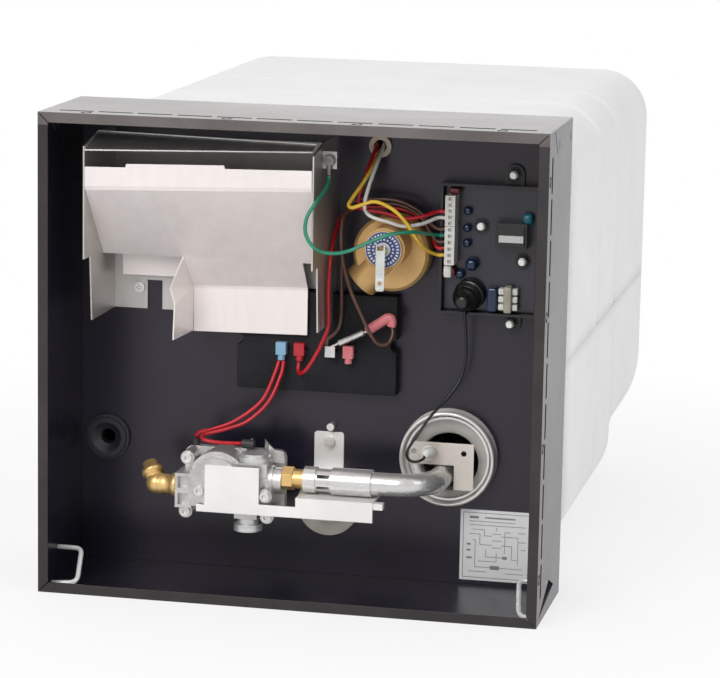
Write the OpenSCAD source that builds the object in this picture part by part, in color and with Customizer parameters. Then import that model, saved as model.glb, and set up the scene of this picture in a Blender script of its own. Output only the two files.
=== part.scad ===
// Gas water heater for a caravan: a steel front housing with its burner, controls and exhaust,
// and a foam-jacketed tank behind it. Millimetres, +Z up, front facing -Y, X centred,
// origin on the base below the middle of the whole unit.

/* [Housing] */
// Width of the steel housing
box_w = 322; // [310:1:340]
// Height of the steel housing
box_h = 308; // [304:1:330]
// Depth of the steel housing from the front lip to its rear edge
box_d = 92; // [88:1:110]
// Thickness of the housing's sheet steel
sheet_t = 1.2; // [0.8:0.1:2]
// Width of the lip that turns in round the front
lip_w = 6.5; // [5:0.5:9]
// Seam between two lips where they meet at a corner
lip_seam = 0.4; // [0.2:0.1:1]
// Length of each slot along the bend line
slot_len = 22; // [16:1:23]
// Width of each slot along the bend line
slot_w = 4.5; // [2:0.5:6]
// Distance from one slot to the next
slot_pitch = 25.4; // [24:0.2:30]
// Distance of the slots behind the front lip
slot_setback = 13; // [12:0.5:18]
// Bare length at each end of a row of slots
slot_end = 8; // [6:1:20]
// Diameter of the groove round a clinch point
clinch_d = 7; // [5:0.5:8]
// Diameter of the button in a clinch point
clinch_core_d = 3.6; // [2:0.2:4]
// Depth of the groove round a clinch point
clinch_depth = 0.6; // [0.3:0.1:0.7]
// Distance of the clinch points behind the front lip
clinch_setback = 5.5; // [5:0.5:7]
// Distance of the inner clinch points from the middle of a wall
clinch_near = 41; // [30:1:60]
// Distance of the outer clinch points from the end of a wall
clinch_end = 30; // [20:1:40]
// Width of the cut lines at the corner tabs
tab_cut = 1.6; // [1:0.2:3]

/* [Jacket and tank] */
// Length of the foam jacket behind the housing
jacket_d = 395; // [370:1:430]
// Step from the housing's top down to the jacket's top
jacket_drop = 8; // [4:1:14]
// Thickness of the foam round the tank
foam_t = 20; // [18:1:26]
// Radius of the jacket's upper edges
jacket_top_r = 34; // [25:1:45]
// Radius of the jacket's lower edges beside the housing
jacket_low_r = 40; // [30:1:50]
// Radius of the lower edges of the rear part
jacket_rear_low_r = 70; // [55:1:80]
// Height of the jacket's underside beside its foot
jacket_belly = 17; // [14:1:22]
// Width of the flat foot under the jacket
jacket_foot_w = 170; // [140:1:190]
// Rounding of the jacket's rear edge
jacket_rear_r = 14; // [8:1:18]
// Width of the grooves round the jacket
groove_w = 10; // [6:1:12]
// Depth of the grooves round the jacket
groove_depth = 2; // [1:0.5:6]
// Distance of the first groove behind the housing
groove_1 = 143; // [130:1:160]
// Distance of the second groove behind the housing
groove_2 = 226; // [210:1:250]
// Height of the parting line between the two shells
parting_z = 150; // [140:1:160]
// Width of the open parting line
parting_gap = 0.4; // [0.3:0.1:0.9]
// Wall of the aluminium tank
tank_wall = 3; // [2:0.5:4]
// Radius of the tank's long edges
tank_r = 60; // [45:1:70]
// Outside diameter of the flue tube
flue_d = 55; // [54:1:58]
// Wall of the flue tube
flue_wall = 1.5; // [1:0.1:2]
// Distance of the flue's bend from the tank's rear wall
flue_rear_gap = 8; // [6:1:20]
// Distance of the water ports from the middle plane
port_x = 90; // [70:1:100]
// Height of the hot outlet
hot_z = 225; // [200:1:230]
// Height of the cold inlet
cold_z = 85; // [80:1:110]
// Bore of a water port
port_bore = 18.6; // [16:0.1:20]
// Outside diameter of a water port
port_d = 30; // [26:1:34]
// Diameter of the collar on a water port
port_collar_d = 38; // [36:1:44]

/* [Burner opening and drain] */
// Burner opening's place across the panel
burner_x = 87.6; // [80:0.1:92]
// Burner opening's height
burner_z = 85.3; // [82:0.1:90]
// Wall of the collar round the burner opening
ring_wall = 2.6; // [1.5:0.1:3.5]
// Length that the collar stands out of the panel
ring_depth = 12; // [10:1:16]
// Rolled edge of the collar
ring_bead = 2.6; // [2:0.1:3]
// Drain plug's place across the panel
drain_x = 8.5; // [5:0.5:14]
// Drain plug's height
drain_z = 48.5; // [48:0.5:50]
// Diameter of the drain plug's washer
drain_d = 41; // [34:1:42]
// Thickness of the drain plug's washer
drain_t = 4; // [2:0.5:5]
// Thread diameter of the drain plug
drain_thread = 14; // [12:0.5:15]
// Hexagon of the drain plug across its corners
drain_hex = 22; // [18:1:24]

/* [Exhaust] */
// Right side of the exhaust box, across the panel
exhaust_right = 11; // [8:0.5:12]
// Middle of the flue across the panel
flue_x = -63.5; // [-66:0.5:-60]
// Width of the exhaust box
exhaust_w = 149; // [140:1:152]
// Depth of the exhaust box
exhaust_depth = 70; // [66:1:74]
// Depth of the lower part of its side plates
exhaust_low_depth = 52; // [46:1:58]
// Thickness of the stainless sheet
exhaust_t = 1; // [0.8:0.1:1.4]
// Hood's front edge below the housing's top
hood_down = 23; // [21:1:25]
// Rise of the hood from front to rear
hood_rise = 6; // [3:1:8]
// Depth of the hood at its left end
hood_left = 30; // [26:1:40]
// Depth of the hood at its right end
hood_right = 16; // [12:1:24]
// Lower edge of the exhaust box
exhaust_bottom_at = 171; // [168:1:174]
// Height where the side plates step back
exhaust_step_at = 213; // [208:1:218]
// Upper edge of the baffle's front band below the housing's top
band_top_down = 34; // [32:1:38]
// Lower edge of the baffle's front band below the housing's top
band_bottom_down = 48; // [44:1:52]
// Height where the left part of the slope ends
slope_cut_at = 206; // [202:1:210]
// Height where the slope meets the lower lip
slope_foot_at = 192; // [188:1:196]
// Lower edge of the baffle's lip
baffle_lip_at = 163; // [160:1:168]
// Distance of the lower lip from the panel
baffle_foot = 12.5; // [12:0.5:15]
// Left end of the lower lip
scoop_left = -82; // [-86:1:-78]
// Right end of the lower lip
scoop_right = -5; // [-8:1:-2]
// Depth of the scoop's side flap
scoop_depth = 54; // [48:1:56]
// Middle of the flue's outlet below the housing's top
flue_down = 76; // [72:1:80]
// Diameter of the exhaust screws' heads
exhaust_screw_d = 7; // [6:0.5:9]
// Width of the earth tab
earth_tab_w = 9; // [8:0.5:11]
// Height of the earth tab
earth_tab_h = 11; // [9:0.5:14]
// Distance of the earth tab from the panel
earth_tab_depth = 46; // [40:1:52]

/* [Burner] */
// Height of the burner tube
tube_z = 74.6; // [74:0.1:76]
// Distance of the burner tube from the panel
tube_depth = 46; // [44:0.5:48]
// Outside diameter of the burner tube
tube_d = 15; // [14:0.1:16]
// Wall of the burner tube
tube_wall = 1; // [0.8:0.1:1.5]
// Bend radius of the burner tube
tube_bend = 25; // [22:1:26]
// Place of the tube's leg in the burner opening
tube_leg_x = 85; // [83:0.5:86]
// Length of the tube inside the flue
tube_reach = 50; // [30:1:80]
// Left end of the burner tube
tube_start = 2.7; // [2:0.1:4]
// Length of the collar at the tube's left end
tube_collar = 8; // [6:0.5:9]
// Length of the air slots
air_slot_len = 9; // [7:0.5:10]
// Width of the air slots
air_slot_w = 2.4; // [1.5:0.1:3]
// Length of the air shutter
shutter_len = 26; // [20:1:28]
// Wall of the air shutter
shutter_wall = 1.2; // [0.8:0.1:1.5]
// Gap between the air shutter and the shelf below it
shutter_gap = 0.4; // [0.3:0.1:1]
// Gap in the split air shutter
shutter_split = 2; // [1:0.2:3]
// Running clearance of pins, shafts and sleeves
pin_clear = 0.05; // [0.02:0.01:0.1]
// Clearance of fixed pieces that pass through each other
fit_clear = 0.2; // [0.1:0.05:0.3]
// Distance of the igniter plate from the panel
igniter_plate_depth = 14; // [12:0.5:16]
// Thickness of the igniter plate
igniter_plate_t = 1.2; // [0.8:0.1:1.6]
// Diameter of the igniter's ceramic
igniter_d = 8; // [6:0.5:9]
// Thickness of the burner bracket
bracket_t = 1.2; // [0.8:0.1:1.6]
// Distance of the bracket's front plate from the panel
bracket_depth = 60; // [58:0.5:62]
// Middle of the bracket's tab across the panel
bracket_x = 8; // [6:0.5:10]

/* [Gas valve] */
// Middle of the gas valve's drum across the panel
valve_x = -45; // [-48:0.5:-42]
// Height of the gas valve's drum
valve_z = 67; // [66:0.5:69]
// Diameter of the gas valve's drum
drum_d = 38; // [36:1:40]
// Thickness of the gas valve's rear flange
valve_flange_t = 6; // [4:0.5:8]
// Thread diameter of the gas inlet
gas_thread = 10; // [9:0.1:11]
// Length of the gas inlet's thread
gas_thread_len = 6; // [4:0.5:8]

/* [Relief valve] */
// Relief valve's place across the panel
relief_x = 50.5; // [49:0.5:52]
// Relief valve's height
relief_at = 219; // [217:0.5:221]
// Rise of the bonnet and its stem above the middle of the brass body
bonnet_up = 6; // [4:0.5:7]
// Diameter of the brass body
relief_d = 49; // [44:1:52]
// Front face of the brass body
relief_front = 22; // [20:1:24]
// Diameter of the bonnet
bonnet_d = 27; // [25:0.5:30]
// Front face of the bonnet
bonnet_front = 45; // [42:1:48]
// Diameter of the round plate on the bonnet
plate_d = 23; // [20:0.5:24]
// Thread diameter of the inlet into the tank
relief_thread = 26; // [22:0.5:27]
// Outside diameter of the outlet
outlet_d = 23; // [22:0.5:24]
// Bore of the outlet
outlet_bore = 18.6; // [16:0.1:19]
// Length of the outlet from the valve's axis
outlet_len = 29; // [28:0.5:32]
// Diameter of the stem
stem_d = 4.5; // [4:0.1:5]
// Width of the test lever
lever_w = 6; // [5.6:0.1:8]
// Length of the test lever below its pin
lever_len = 25; // [20:1:28]
// Thickness of the test lever
lever_t = 1; // [0.8:0.1:1.4]
// Diameter of the lever's pin
lever_pin = 2; // [1.6:0.1:2.2]

/* [Control board] */
// Middle of the board tray across the panel
board_x = 112; // [110:0.5:113]
// Middle of the board tray in height
board_at = 222.7; // [221:0.1:225]
// Width of the board tray
board_w = 63; // [61:0.5:65]
// Height of the board tray
board_h = 83.5; // [82:0.5:86]
// Depth of the board tray
board_depth = 14; // [12:0.5:15]
// Wall of the board tray
tray_wall = 1.6; // [1.2:0.1:2]
// Filled floor of the board tray
tray_floor = 5; // [3:0.5:6]
// Thickness of the circuit board
pcb_t = 1.6; // [1:0.1:2]
// Diameter of a nut across its corners
nut_d = 8.1; // [7:0.1:9]
// Height of a nut
nut_h = 3.2; // [2.5:0.1:4]
// Diameter of a stud
stud_d = 4; // [3:0.1:5]

/* [Thermostats] */
// Width of the thermostat cover
cover_w = 105; // [100:1:110]
// Height of the thermostat cover
cover_h = 64.5; // [60:0.5:68]
// Thickness of the thermostat cover
cover_t = 10; // [9:0.5:12]
// Middle of the thermostat cover in height
cover_at = 156.7; // [155:0.1:158]
// Radius of the notches in the cover's sides
cover_notch = 4; // [3:0.5:6]
// Limit thermostat's place across the panel
limit_x = -15.5; // [-16:0.1:-15]
// Control thermostat's place across the panel
control_x = 16.7; // [16:0.1:17]
// Height of both thermostats
stat_at = 152; // [151:0.5:153]
// Diameter of a thermostat
stat_d = 18; // [16:0.5:19]
// Spacing of a thermostat's two tabs
tab_spacing = 12; // [11:0.5:13]

/* [Grommets, label and door wires] */
// Distance of the gas-line grommet from the left side
gas_grommet_in = 19.6; // [18:0.1:22]
// Gas-line grommet's height
gas_grommet_z = 84; // [80:0.5:88]
// Diameter of the gas-line grommet
gas_grommet_d = 30; // [26:0.5:32]
// Bore of the gas-line grommet
gas_bore = 9.8; // [9:0.1:12]
// Wire grommet's place across the panel
wire_grommet_x = 38.5; // [38:0.1:39]
// Middle of the wire grommet below the housing's top
wire_grommet_down = 23.5; // [23:0.1:24]
// Diameter of the wire grommet
wire_grommet_d = 14.4; // [14.2:0.1:16]
// Bore of the wire grommet
wire_bore = 8.4; // [8:0.1:8.6]
// Side of the wiring label
label_w = 47; // [40:1:50]
// Thickness of the wiring label
label_t = 0.4; // [0.2:0.1:0.6]
// Diameter of the door wires
bail_d = 3.2; // [2.6:0.1:3.6]
// Distance of the door wires' pivots behind the front lip
bail_y = 38; // [36:0.5:42]
// Height of the door wires' pivots
bail_z = 20.3; // [19:0.1:25]
// Sideways lean of the door wires' arms
bail_lean = 3.6; // [0:0.1:4]
// Diameter of a lead
lead_d = 2.4; // [1.8:0.1:2.6]
// Diameter of the spark lead
spark_lead_d = 1.8; // [1.4:0.1:2]

/* [Hidden] */
$fn = 48;

// Height of the housing that the places in the middle of the panel and the leads were laid out for
drawn_h = 308;
// Pieces at the top are placed from the housing's top edge. Those in the middle of the panel rise by a share
// of what a taller housing adds to the drawn height, and the leads follow what they join.
top_move = box_h - drawn_h;
mid_move = 0.65 * top_move;
hood_z = box_h - hood_down;
band_top = box_h - band_top_down;
band_bottom = box_h - band_bottom_down;
wire_grommet_z = box_h - wire_grommet_down;
flue_z = box_h - flue_down;
exhaust_bottom = exhaust_bottom_at + mid_move;
exhaust_step_z = exhaust_step_at + mid_move;
slope_cut_z = slope_cut_at + mid_move;
slope_foot_z = slope_foot_at + mid_move;
baffle_lip_z = baffle_lip_at + mid_move;
relief_z = relief_at + mid_move;
bonnet_z = relief_z + bonnet_up;
board_z = board_at + mid_move;
cover_z = cover_at + mid_move;
stat_z = stat_at + mid_move;
gas_grommet_x = gas_grommet_in - box_w / 2;
depth = box_d + jacket_d;
front_y = -depth / 2;
housing_rear_y = front_y + box_d;
// Front face of the back panel: everything mounted on it is measured forward from here
panel_y = housing_rear_y - sheet_t;
rear_y = depth / 2;
jacket_top = box_h - jacket_drop;
tank_top = jacket_top - foam_t;
tank_low = jacket_belly + foam_t;
tank_half_w = box_w / 2 - foam_t;
tank_front_y = housing_rear_y + foam_t;
tank_rear_y = rear_y - foam_t;
// Distance of the tank's front wall behind the panel's front face
tank_back = sheet_t + foam_t;
ring_bore = flue_d + 2 * fit_clear;
exhaust_left = exhaust_right - exhaust_w;
baffle_front = exhaust_depth - exhaust_t;
// Distance of the baffle's slope from the panel at a height
function slope_depth(z) = baffle_foot
    + (baffle_front - baffle_foot) * (z - slope_foot_z) / (band_bottom - slope_foot_z);
cover_x = 0.5;
cover_left = cover_x - cover_w / 2;
cover_top = cover_z + cover_h / 2;
pcb_front = tray_floor + pcb_t;
tube_bend_x = tube_leg_x - tube_bend;
air_slot_x = tube_start + tube_collar + 1;
shutter_x = air_slot_x + air_slot_len;
shutter_r = tube_d / 2 + pin_clear + shutter_wall;
stem_front = bonnet_front + 8;
pin_depth = bonnet_front + 5;
lever_back = stem_front + 0.4;
label_gap = 4;
terminal_depth = cover_t + 2;
connector_left = board_x - board_w / 2 + tray_wall + 2.5;
lead_end_x = connector_left - 0.4;
lead_depth = board_depth + lead_d / 2 + 0.6;

// Places a piece on the back panel, with distances in front of it as negative y
module on_panel(x = 0, z = 0) translate([x, panel_y, z]) children();
// Plate parallel to the front, outline in X and Z, thickness towards the front
module front_plate(t) rotate([90, 0, 0]) linear_extrude(t) children();
// Plate parallel to the sides, outline in Y and Z, thickness towards +X
module side_plate(t) rotate([90, 0, 90]) linear_extrude(t) children();
// Round bar along the panel's normal, between two distances in front of the panel
module rod(d, from, to, sides = 48) translate([0, -from, 0]) rotate([90, 0, 0])
    cylinder(d = d, h = to - from, $fn = sides);
// Round bar along X
module bar_x(d, from, to, sides = 48) translate([from, 0, 0]) rotate([0, 90, 0])
    cylinder(d = d, h = to - from, $fn = sides);
// Round bar between two points
module bar(p, q, d, sides = 48) {
    v = q - p;
    translate(p) rotate([0, acos(v.z / norm(v)), atan2(v.y, v.x)]) cylinder(d = d, h = norm(v), $fn = sides);
}
// Box on the panel, by its middle in X and Z and its distances in front of the panel
module block(x, z, w, h, from, to) translate([x - w / 2, -to, z - h / 2]) cube([w, to - from, h]);
// Rectangle with round corners
module round_rect(w, h, r) {
    square([w - 2 * r, h], center = true);
    square([w, h - 2 * r], center = true);
    for (sx = [-1, 1], sz = [-1, 1]) translate([sx * (w / 2 - r), sz * (h / 2 - r)]) circle(r);
}

// Smooth curve through a lead's points, and the rings of a tube along it
function curve_point(a, b, c, d, t) = 0.5 * (2 * b + (c - a) * t + (2 * a - 5 * b + 4 * c - d) * t * t
    + (3 * b - a - 3 * c + d) * t * t * t);
function smooth(p, n = 3) = let (m = len(p)) [for (i = [0 : m - 2], j = [0 : n - 1])
    curve_point(p[max(i - 1, 0)], p[i], p[i + 1], p[min(i + 2, m - 1)], j / n), p[m - 1]];
function unit(v) = v / norm(v);
function tangent(p, i) = unit(p[min(i + 1, len(p) - 1)] - p[max(i - 1, 0)]);
function ring(p, i, d, sides) =
    let (t = tangent(p, i), u = unit(cross(t, [0.31, 0.23, 0.92])), v = cross(t, u))
    [for (k = [0 : sides - 1]) p[i] + d / 2 * (cos(360 * k / sides) * u + sin(360 * k / sides) * v)];
module tube(p, d, sides) {
    n = len(p);
    rings = [for (i = [0 : n - 1]) each ring(p, i, d, sides)];
    walls = [for (i = [0 : n - 2], k = [0 : sides - 1])
        let (a = i * sides + k, b = i * sides + (k + 1) % sides)
        each [[b + sides, b, a], [a + sides, b + sides, a]]];
    ends = [[for (k = [0 : sides - 1]) k], [for (k = [sides - 1 : -1 : 0]) (n - 1) * sides + k]];
    polyhedron(rings, concat(walls, ends));
}
module lead(points, d, from, to) on_panel() tube(smooth(follow(points, from, to)), d, 8);
// Route whose two ends moved up with the pieces they are fixed to
function follow(p, from, to) = [for (i = [0 : len(p) - 1])
    p[i] + [0, 0, from + (to - from) * i / (len(p) - 1)]];
// Straight end of a lead in a plug
function stub(z) = [lead_end_x - 5, -lead_depth - 0.4, z];
function plug(z) = [lead_end_x, -lead_depth, z];
// Round bend at q on the way from p to r, starting and ending a short way from the corner
function bend(p, q, r, reach, n = 6) = let (a = q + reach * unit(p - q), b = q + reach * unit(r - q))
    [for (i = [0 : n]) let (t = i / n) (1 - t) * (1 - t) * a + 2 * t * (1 - t) * q + t * t * b];

// Routes of the leads, in millimetres from the panel's front face, end to end
RED_SUPPLY = [[36.5, -1, 285.7], [36, -9, 281], [33.5, -18, 270], [31, -23, 259], [30, -25.5, 252],
    [32, -27, 248], [38, -27.5, 246.5], [47, -27, 245.5], [60, -27, 242.5], [71, -23, 244], stub(246.5),
    plug(246.5)];
RED_LIMIT = [plug(223.5), stub(223.5), [75.8, -12, 228.5], [69, -9.5, 239.5], [56, -9, 245.5],
    [42, -9, 246.5], [30, -9, 246], [21, -9, 243.5], [15.2, -11, 238], [13.6, -18, 230], [13.5, -27, 221],
    [13.5, -33, 210], [13.5, -35, 195], [13.5, -34, 183], [12.8, -31, 171], [8, -27, 160], [3, -26, 150], [-2, -26, 142],
    [-7, -22, 138], [-9.5, -17.5, 139.5], [-9.7, -15.5, 143.9]];
RED_VALVE = [[-22.9, -14.5, 144.2], [-25, -18, 136], [-31, -27, 120], [-46, -33, 107.5], [-61, -35, 101],
    [-69.5, -34, 98.5], [-73, -33, 95.2]];
RED_COIL = [[-19.9, -14.5, 144.2], [-21, -18, 135], [-27, -26, 119], [-40, -32, 106], [-55, -38, 99],
    [-62, -42, 96.5], [-60.5, -44.5, 94.5], [-52, -43, 94.5], [-40.4, -41, 94]];
WHITE_SUPPLY = [[40.5, -1, 285.7], [40.4, -9, 281], [38.5, -20, 271], [36, -27.5, 259], [35, -31, 250.5],
    [37, -33, 245.8], [42, -33.5, 243], [50, -33.5, 241], [60, -32.5, 238.5], [71, -26, 239.6], stub(242.5),
    plug(242.5)];
YELLOW_SUPPLY = [[38.5, -1, 282.3], [38.2, -8, 279.5], [36.5, -18, 272.5], [33, -28, 264], [28.5, -35, 256],
    [26.5, -39, 251.5], [29, -41, 250], [35, -41.5, 252], [44, -41, 254.5], [55, -40, 250], [63, -38, 242],
    [69, -35, 232], [74, -26, 223.5], stub(219), plug(219)];
GREEN_EARTH = [[exhaust_right + earth_tab_w / 2, -48, 270.6], [15.5, -48.6, 267.5], [15, -57, 262.5],
    [12.6, -73, 256], [8.6, -77.5, 248], [8, -78, 238], [13, -76, 229], [21, -70, 225], [32, -64, 226],
    [45, -61, 232], [58, -58, 237], [69, -48, 237.5], [75, -32, 234.5], stub(231.5), plug(231.5)];
BROWN_FUSE = [plug(235.5), stub(235.5), [74, -16, 239], [67, -16, 246], [55, -16, 251.6], [42, -16, 252.7],
    [29, -16, 252], [22, -19, 247.5], [19.5, -25, 239], [20, -30, 226], [22, -31, 212], [27, -32, 196],
    [34, -32, 181], [41, -31, 167], [46, -28, 161], [51, -25, 162], [53, -22, 168], [51.1, -20, 174]];
BROWN_CONTROL = [plug(227.5), stub(227.5), [74.6, -14.8, 232.2], [67, -13, 242.5], [55, -12.5, 248.6],
    [42, -12.5, 249.6], [29, -12.5, 249], [22, -14, 245.5], [18.5, -17, 237], [18, -18, 222], [18, -18, 200],
    [18, -16, 182], [16.5, -14.5, 169], [12.5, -14.5, 163], [8.8, -14, 160], [8.4, -14, 156]];
SPARK = [[98, -17, 184], [98.5, -17, 178], [99, -14, 165], [98.5, -12, 150], [95, -14, 137], [87, -20, 125],
    [80, -27, 117], [73, -33, 106], [67, -34, 96], [66, -33, 90.5], [69, -32, 87.5], [73, -31, 87.5],
    [76, -28, 89], [76, -26.4, 90.2]];

// Housing walls

// One wall lying flat: outer face up at z = 0, front edge along y = 0, lip turned down
module wall(full, plate_len) {
    count = floor((full - 2 * slot_end) / slot_pitch);
    lip_out = full / 2 - sheet_t - lip_seam;
    lip_in = full / 2 - lip_w - lip_seam;
    difference() {
        union() {
            translate([-plate_len / 2, 0, -sheet_t]) cube([plate_len, box_d, sheet_t]);
            translate([0, sheet_t, 0]) front_plate(sheet_t)
                polygon([[-lip_out, -sheet_t], [lip_out, -sheet_t], [lip_in, -lip_w], [-lip_in, -lip_w]]);
        }
        for (i = [0 : count - 1]) translate([(i - (count - 1) / 2) * slot_pitch, slot_setback, 0])
            cube([slot_len, slot_w, 3 * sheet_t], center = true);
        for (s = [-1, 1], x = [clinch_near, full / 2 - clinch_end])
            translate([s * x, clinch_setback, -clinch_depth]) difference() {
                cylinder(d = clinch_d, h = sheet_t);
                cylinder(d = clinch_core_d, h = sheet_t);
            }
    }
}
// Cuts through both side walls: the corner tabs' lines and the door wires' pivot holes
module side_cuts() translate([-box_w, front_y, 0]) side_plate(2 * box_w) {
    translate([bail_y, bail_z]) circle(d = bail_d + 2 * pin_clear);
    polygon([[18, box_h], [18 + tab_cut, box_h], [32 + tab_cut, box_h - 16], [32, box_h - 16]]);
    for (y = [38, box_d - 8]) translate([y, box_h - 14]) square([tab_cut, 6]);
}
// Open corner below the right wall, above the floor's turned-up ear
module corner_gap() translate([box_w / 2 - 2 * sheet_t, front_y, 0]) side_plate(4 * sheet_t)
    polygon([[5, 4], [46, 20], [66, 12]]);
module housing_top() color([0.13, 0.12, 0.14]) translate([0, front_y, box_h]) wall(box_w, box_w);
module housing_bottom() color([0.13, 0.12, 0.14]) translate([0, front_y, 0]) rotate([0, 180, 0])
    wall(box_w, box_w);
module side_wall(turn) translate([sign(turn) * box_w / 2, front_y, box_h / 2]) rotate([0, turn, 0])
    wall(box_h, box_h - 2 * sheet_t);
module housing_left() color([0.13, 0.12, 0.14]) difference() {
    side_wall(-90);
    side_cuts();
}
module housing_right() color([0.13, 0.12, 0.14]) difference() {
    side_wall(90);
    side_cuts();
    corner_gap();
}
module back_panel() color([0.11, 0.10, 0.13]) on_panel() difference() {
    translate([-(box_w / 2 - sheet_t), 0, sheet_t]) cube([box_w - 2 * sheet_t, sheet_t, box_h - 2 * sheet_t]);
    panel_holes();
}
// Holes for what goes through the panel and the foam into the tank, to a distance behind the panel
module tank_holes(extra, back) {
    for (p = [[burner_x, burner_z, flue_d], [flue_x, flue_z, flue_d], [relief_x, relief_z, relief_thread],
        [drain_x, drain_z, drain_thread]])
        translate([p[0], 0, p[1]]) rod(p[2] + 2 * fit_clear + extra, -back, 1);
}
module panel_holes(extra = 0) {
    tank_holes(extra, tank_back + 1);
    for (x = [limit_x, control_x])
        translate([x, 0, stat_z]) rod(stat_d + 2 * fit_clear + extra, -tank_back - 1, 1);
    translate([gas_grommet_x, 0, gas_grommet_z]) rod(gas_grommet_d - 6 + extra, -10, 1);
    translate([wire_grommet_x, 0, wire_grommet_z]) rod(wire_grommet_d - 4 + extra, -10, 1);
}

// Jacket, tank and water ports

module jacket_outline(low_r, inset) {
    half = box_w / 2 - inset;
    top = jacket_top - inset;
    low = jacket_belly + inset;
    top_r = jacket_top_r - inset;
    edge_r = low_r - inset;
    translate([-half, low + edge_r]) square([2 * half, top - top_r - low - edge_r]);
    translate([-(half - top_r), top - 2 * top_r]) square([2 * (half - top_r), 2 * top_r]);
    translate([-(half - edge_r), low]) square([2 * (half - edge_r), 2 * edge_r]);
    for (s = [-1, 1]) {
        translate([s * (half - top_r), top - top_r]) circle(top_r);
        translate([s * (half - edge_r), low + edge_r]) circle(edge_r);
    }
}
// Length of the jacket between two distances behind the housing
module jacket_slab(from, to, low_r, inset = 0) translate([0, housing_rear_y + to, 0])
    front_plate(to - from) jacket_outline(low_r, inset);
module jacket_block() {
    rim = jacket_d - jacket_rear_r;
    steps = 4;
    jacket_slab(0, groove_1, jacket_low_r);
    jacket_slab(groove_1, groove_1 + groove_w, jacket_low_r, groove_depth);
    jacket_slab(groove_1 + groove_w, groove_2, jacket_low_r);
    jacket_slab(groove_2, groove_2 + groove_w, jacket_low_r, groove_depth);
    jacket_slab(groove_2 + groove_w, rim, jacket_rear_low_r);
    for (i = [0 : steps - 1]) let (a = 90 * i / steps, b = 90 * (i + 1) / steps) hull() {
        jacket_slab(rim + jacket_rear_r * sin(a) - 0.01, rim + jacket_rear_r * sin(a), jacket_rear_low_r,
            jacket_rear_r * (1 - cos(a)));
        jacket_slab(rim + jacket_rear_r * sin(b) - 0.01, rim + jacket_rear_r * sin(b), jacket_rear_low_r,
            jacket_rear_r * (1 - cos(b)));
    }
    translate([0, housing_rear_y + rim, 0]) front_plate(rim)
        polygon([[-jacket_foot_w / 2, 0], [jacket_foot_w / 2, 0],
            [jacket_foot_w / 2 + jacket_belly, jacket_belly + 1],
            [-jacket_foot_w / 2 - jacket_belly, jacket_belly + 1]]);
}
module tank_outline(grow) translate([0, (tank_top + tank_low) / 2])
    round_rect(2 * (tank_half_w + grow), tank_top - tank_low + 2 * grow, tank_r + grow);
module tank_block(grow) translate([0, tank_rear_y + grow, 0])
    front_plate(tank_rear_y - tank_front_y + 2 * grow) tank_outline(grow);
module port_places() for (z = [hot_z, cold_z]) translate([port_x, rear_y, z]) children();
module jacket_shell() difference() {
    jacket_block();
    tank_block(fit_clear);
    on_panel() panel_holes(1);
    port_places() rod(port_collar_d + 2 * fit_clear, -1, foam_t + 1);
    // Channels for the gas line and the supply leads, from their grommets to the outside
    on_panel() block(gas_grommet_x - 20, gas_grommet_z, 40, gas_bore + 4, -sheet_t - 14, 0);
    on_panel() block(wire_grommet_x, wire_grommet_z + 15, wire_bore, 30, -sheet_t - 14, 0);
}
module jacket_upper() color([0.95, 0.95, 0.94]) intersection() {
    jacket_shell();
    translate([-box_w, -depth, parting_z + parting_gap / 2]) cube([2 * box_w, 2 * depth, box_h]);
}
module jacket_lower() color([0.95, 0.95, 0.94]) intersection() {
    jacket_shell();
    translate([-box_w, -depth, -1]) cube([2 * box_w, 2 * depth, parting_z - parting_gap / 2 + 1]);
}
module tank_shell() color([0.75, 0.76, 0.78]) difference() {
    tank_block(0);
    tank_block(-tank_wall);
    on_panel() tank_holes(0, tank_back + tank_wall + 1);
    port_places() rod(port_d + 2 * fit_clear, foam_t - 1, foam_t + tank_wall + 1);
}
module flue_tube() color([0.62, 0.62, 0.63]) {
    dx = (flue_x - burner_x) / 2;
    dz = (flue_z - burner_z) / 2;
    bend_r = norm([dx, dz]);
    bend_y = tank_rear_y - tank_wall - flue_rear_gap - flue_d / 2 - bend_r;
    straight = bend_y - panel_y;
    for (leg = [[burner_x, burner_z, ring_depth - 3], [flue_x, flue_z, 0]])
        translate([leg[0], panel_y, leg[1]]) difference() {
            rod(flue_d, -straight, leg[2]);
            rod(flue_d - 2 * flue_wall, -straight - 1, leg[2] + 1);
        }
    translate([burner_x + dx, bend_y, burner_z + dz]) rotate([0, -atan2(dz, dx), 0])
        rotate_extrude(angle = 180) translate([bend_r, 0]) difference() {
            circle(d = flue_d);
            circle(d = flue_d - 2 * flue_wall);
        }
}
module water_ports() color([0.72, 0.55, 0.28]) port_places() difference() {
    union() {
        rod(port_d, 0, foam_t + tank_wall);
        rod(port_collar_d, foam_t - 4, foam_t, 6);
    }
    rod(port_bore, -1, foam_t + tank_wall + 1);
}
module drain_plug() color([0.82, 0.80, 0.76]) on_panel(drain_x, drain_z) {
    rod(drain_d, 0, drain_t);
    rod(drain_hex, drain_t, drain_t + 7, 6);
    rod(drain_thread, -tank_back - tank_wall, 0);
}

// Exhaust

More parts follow.
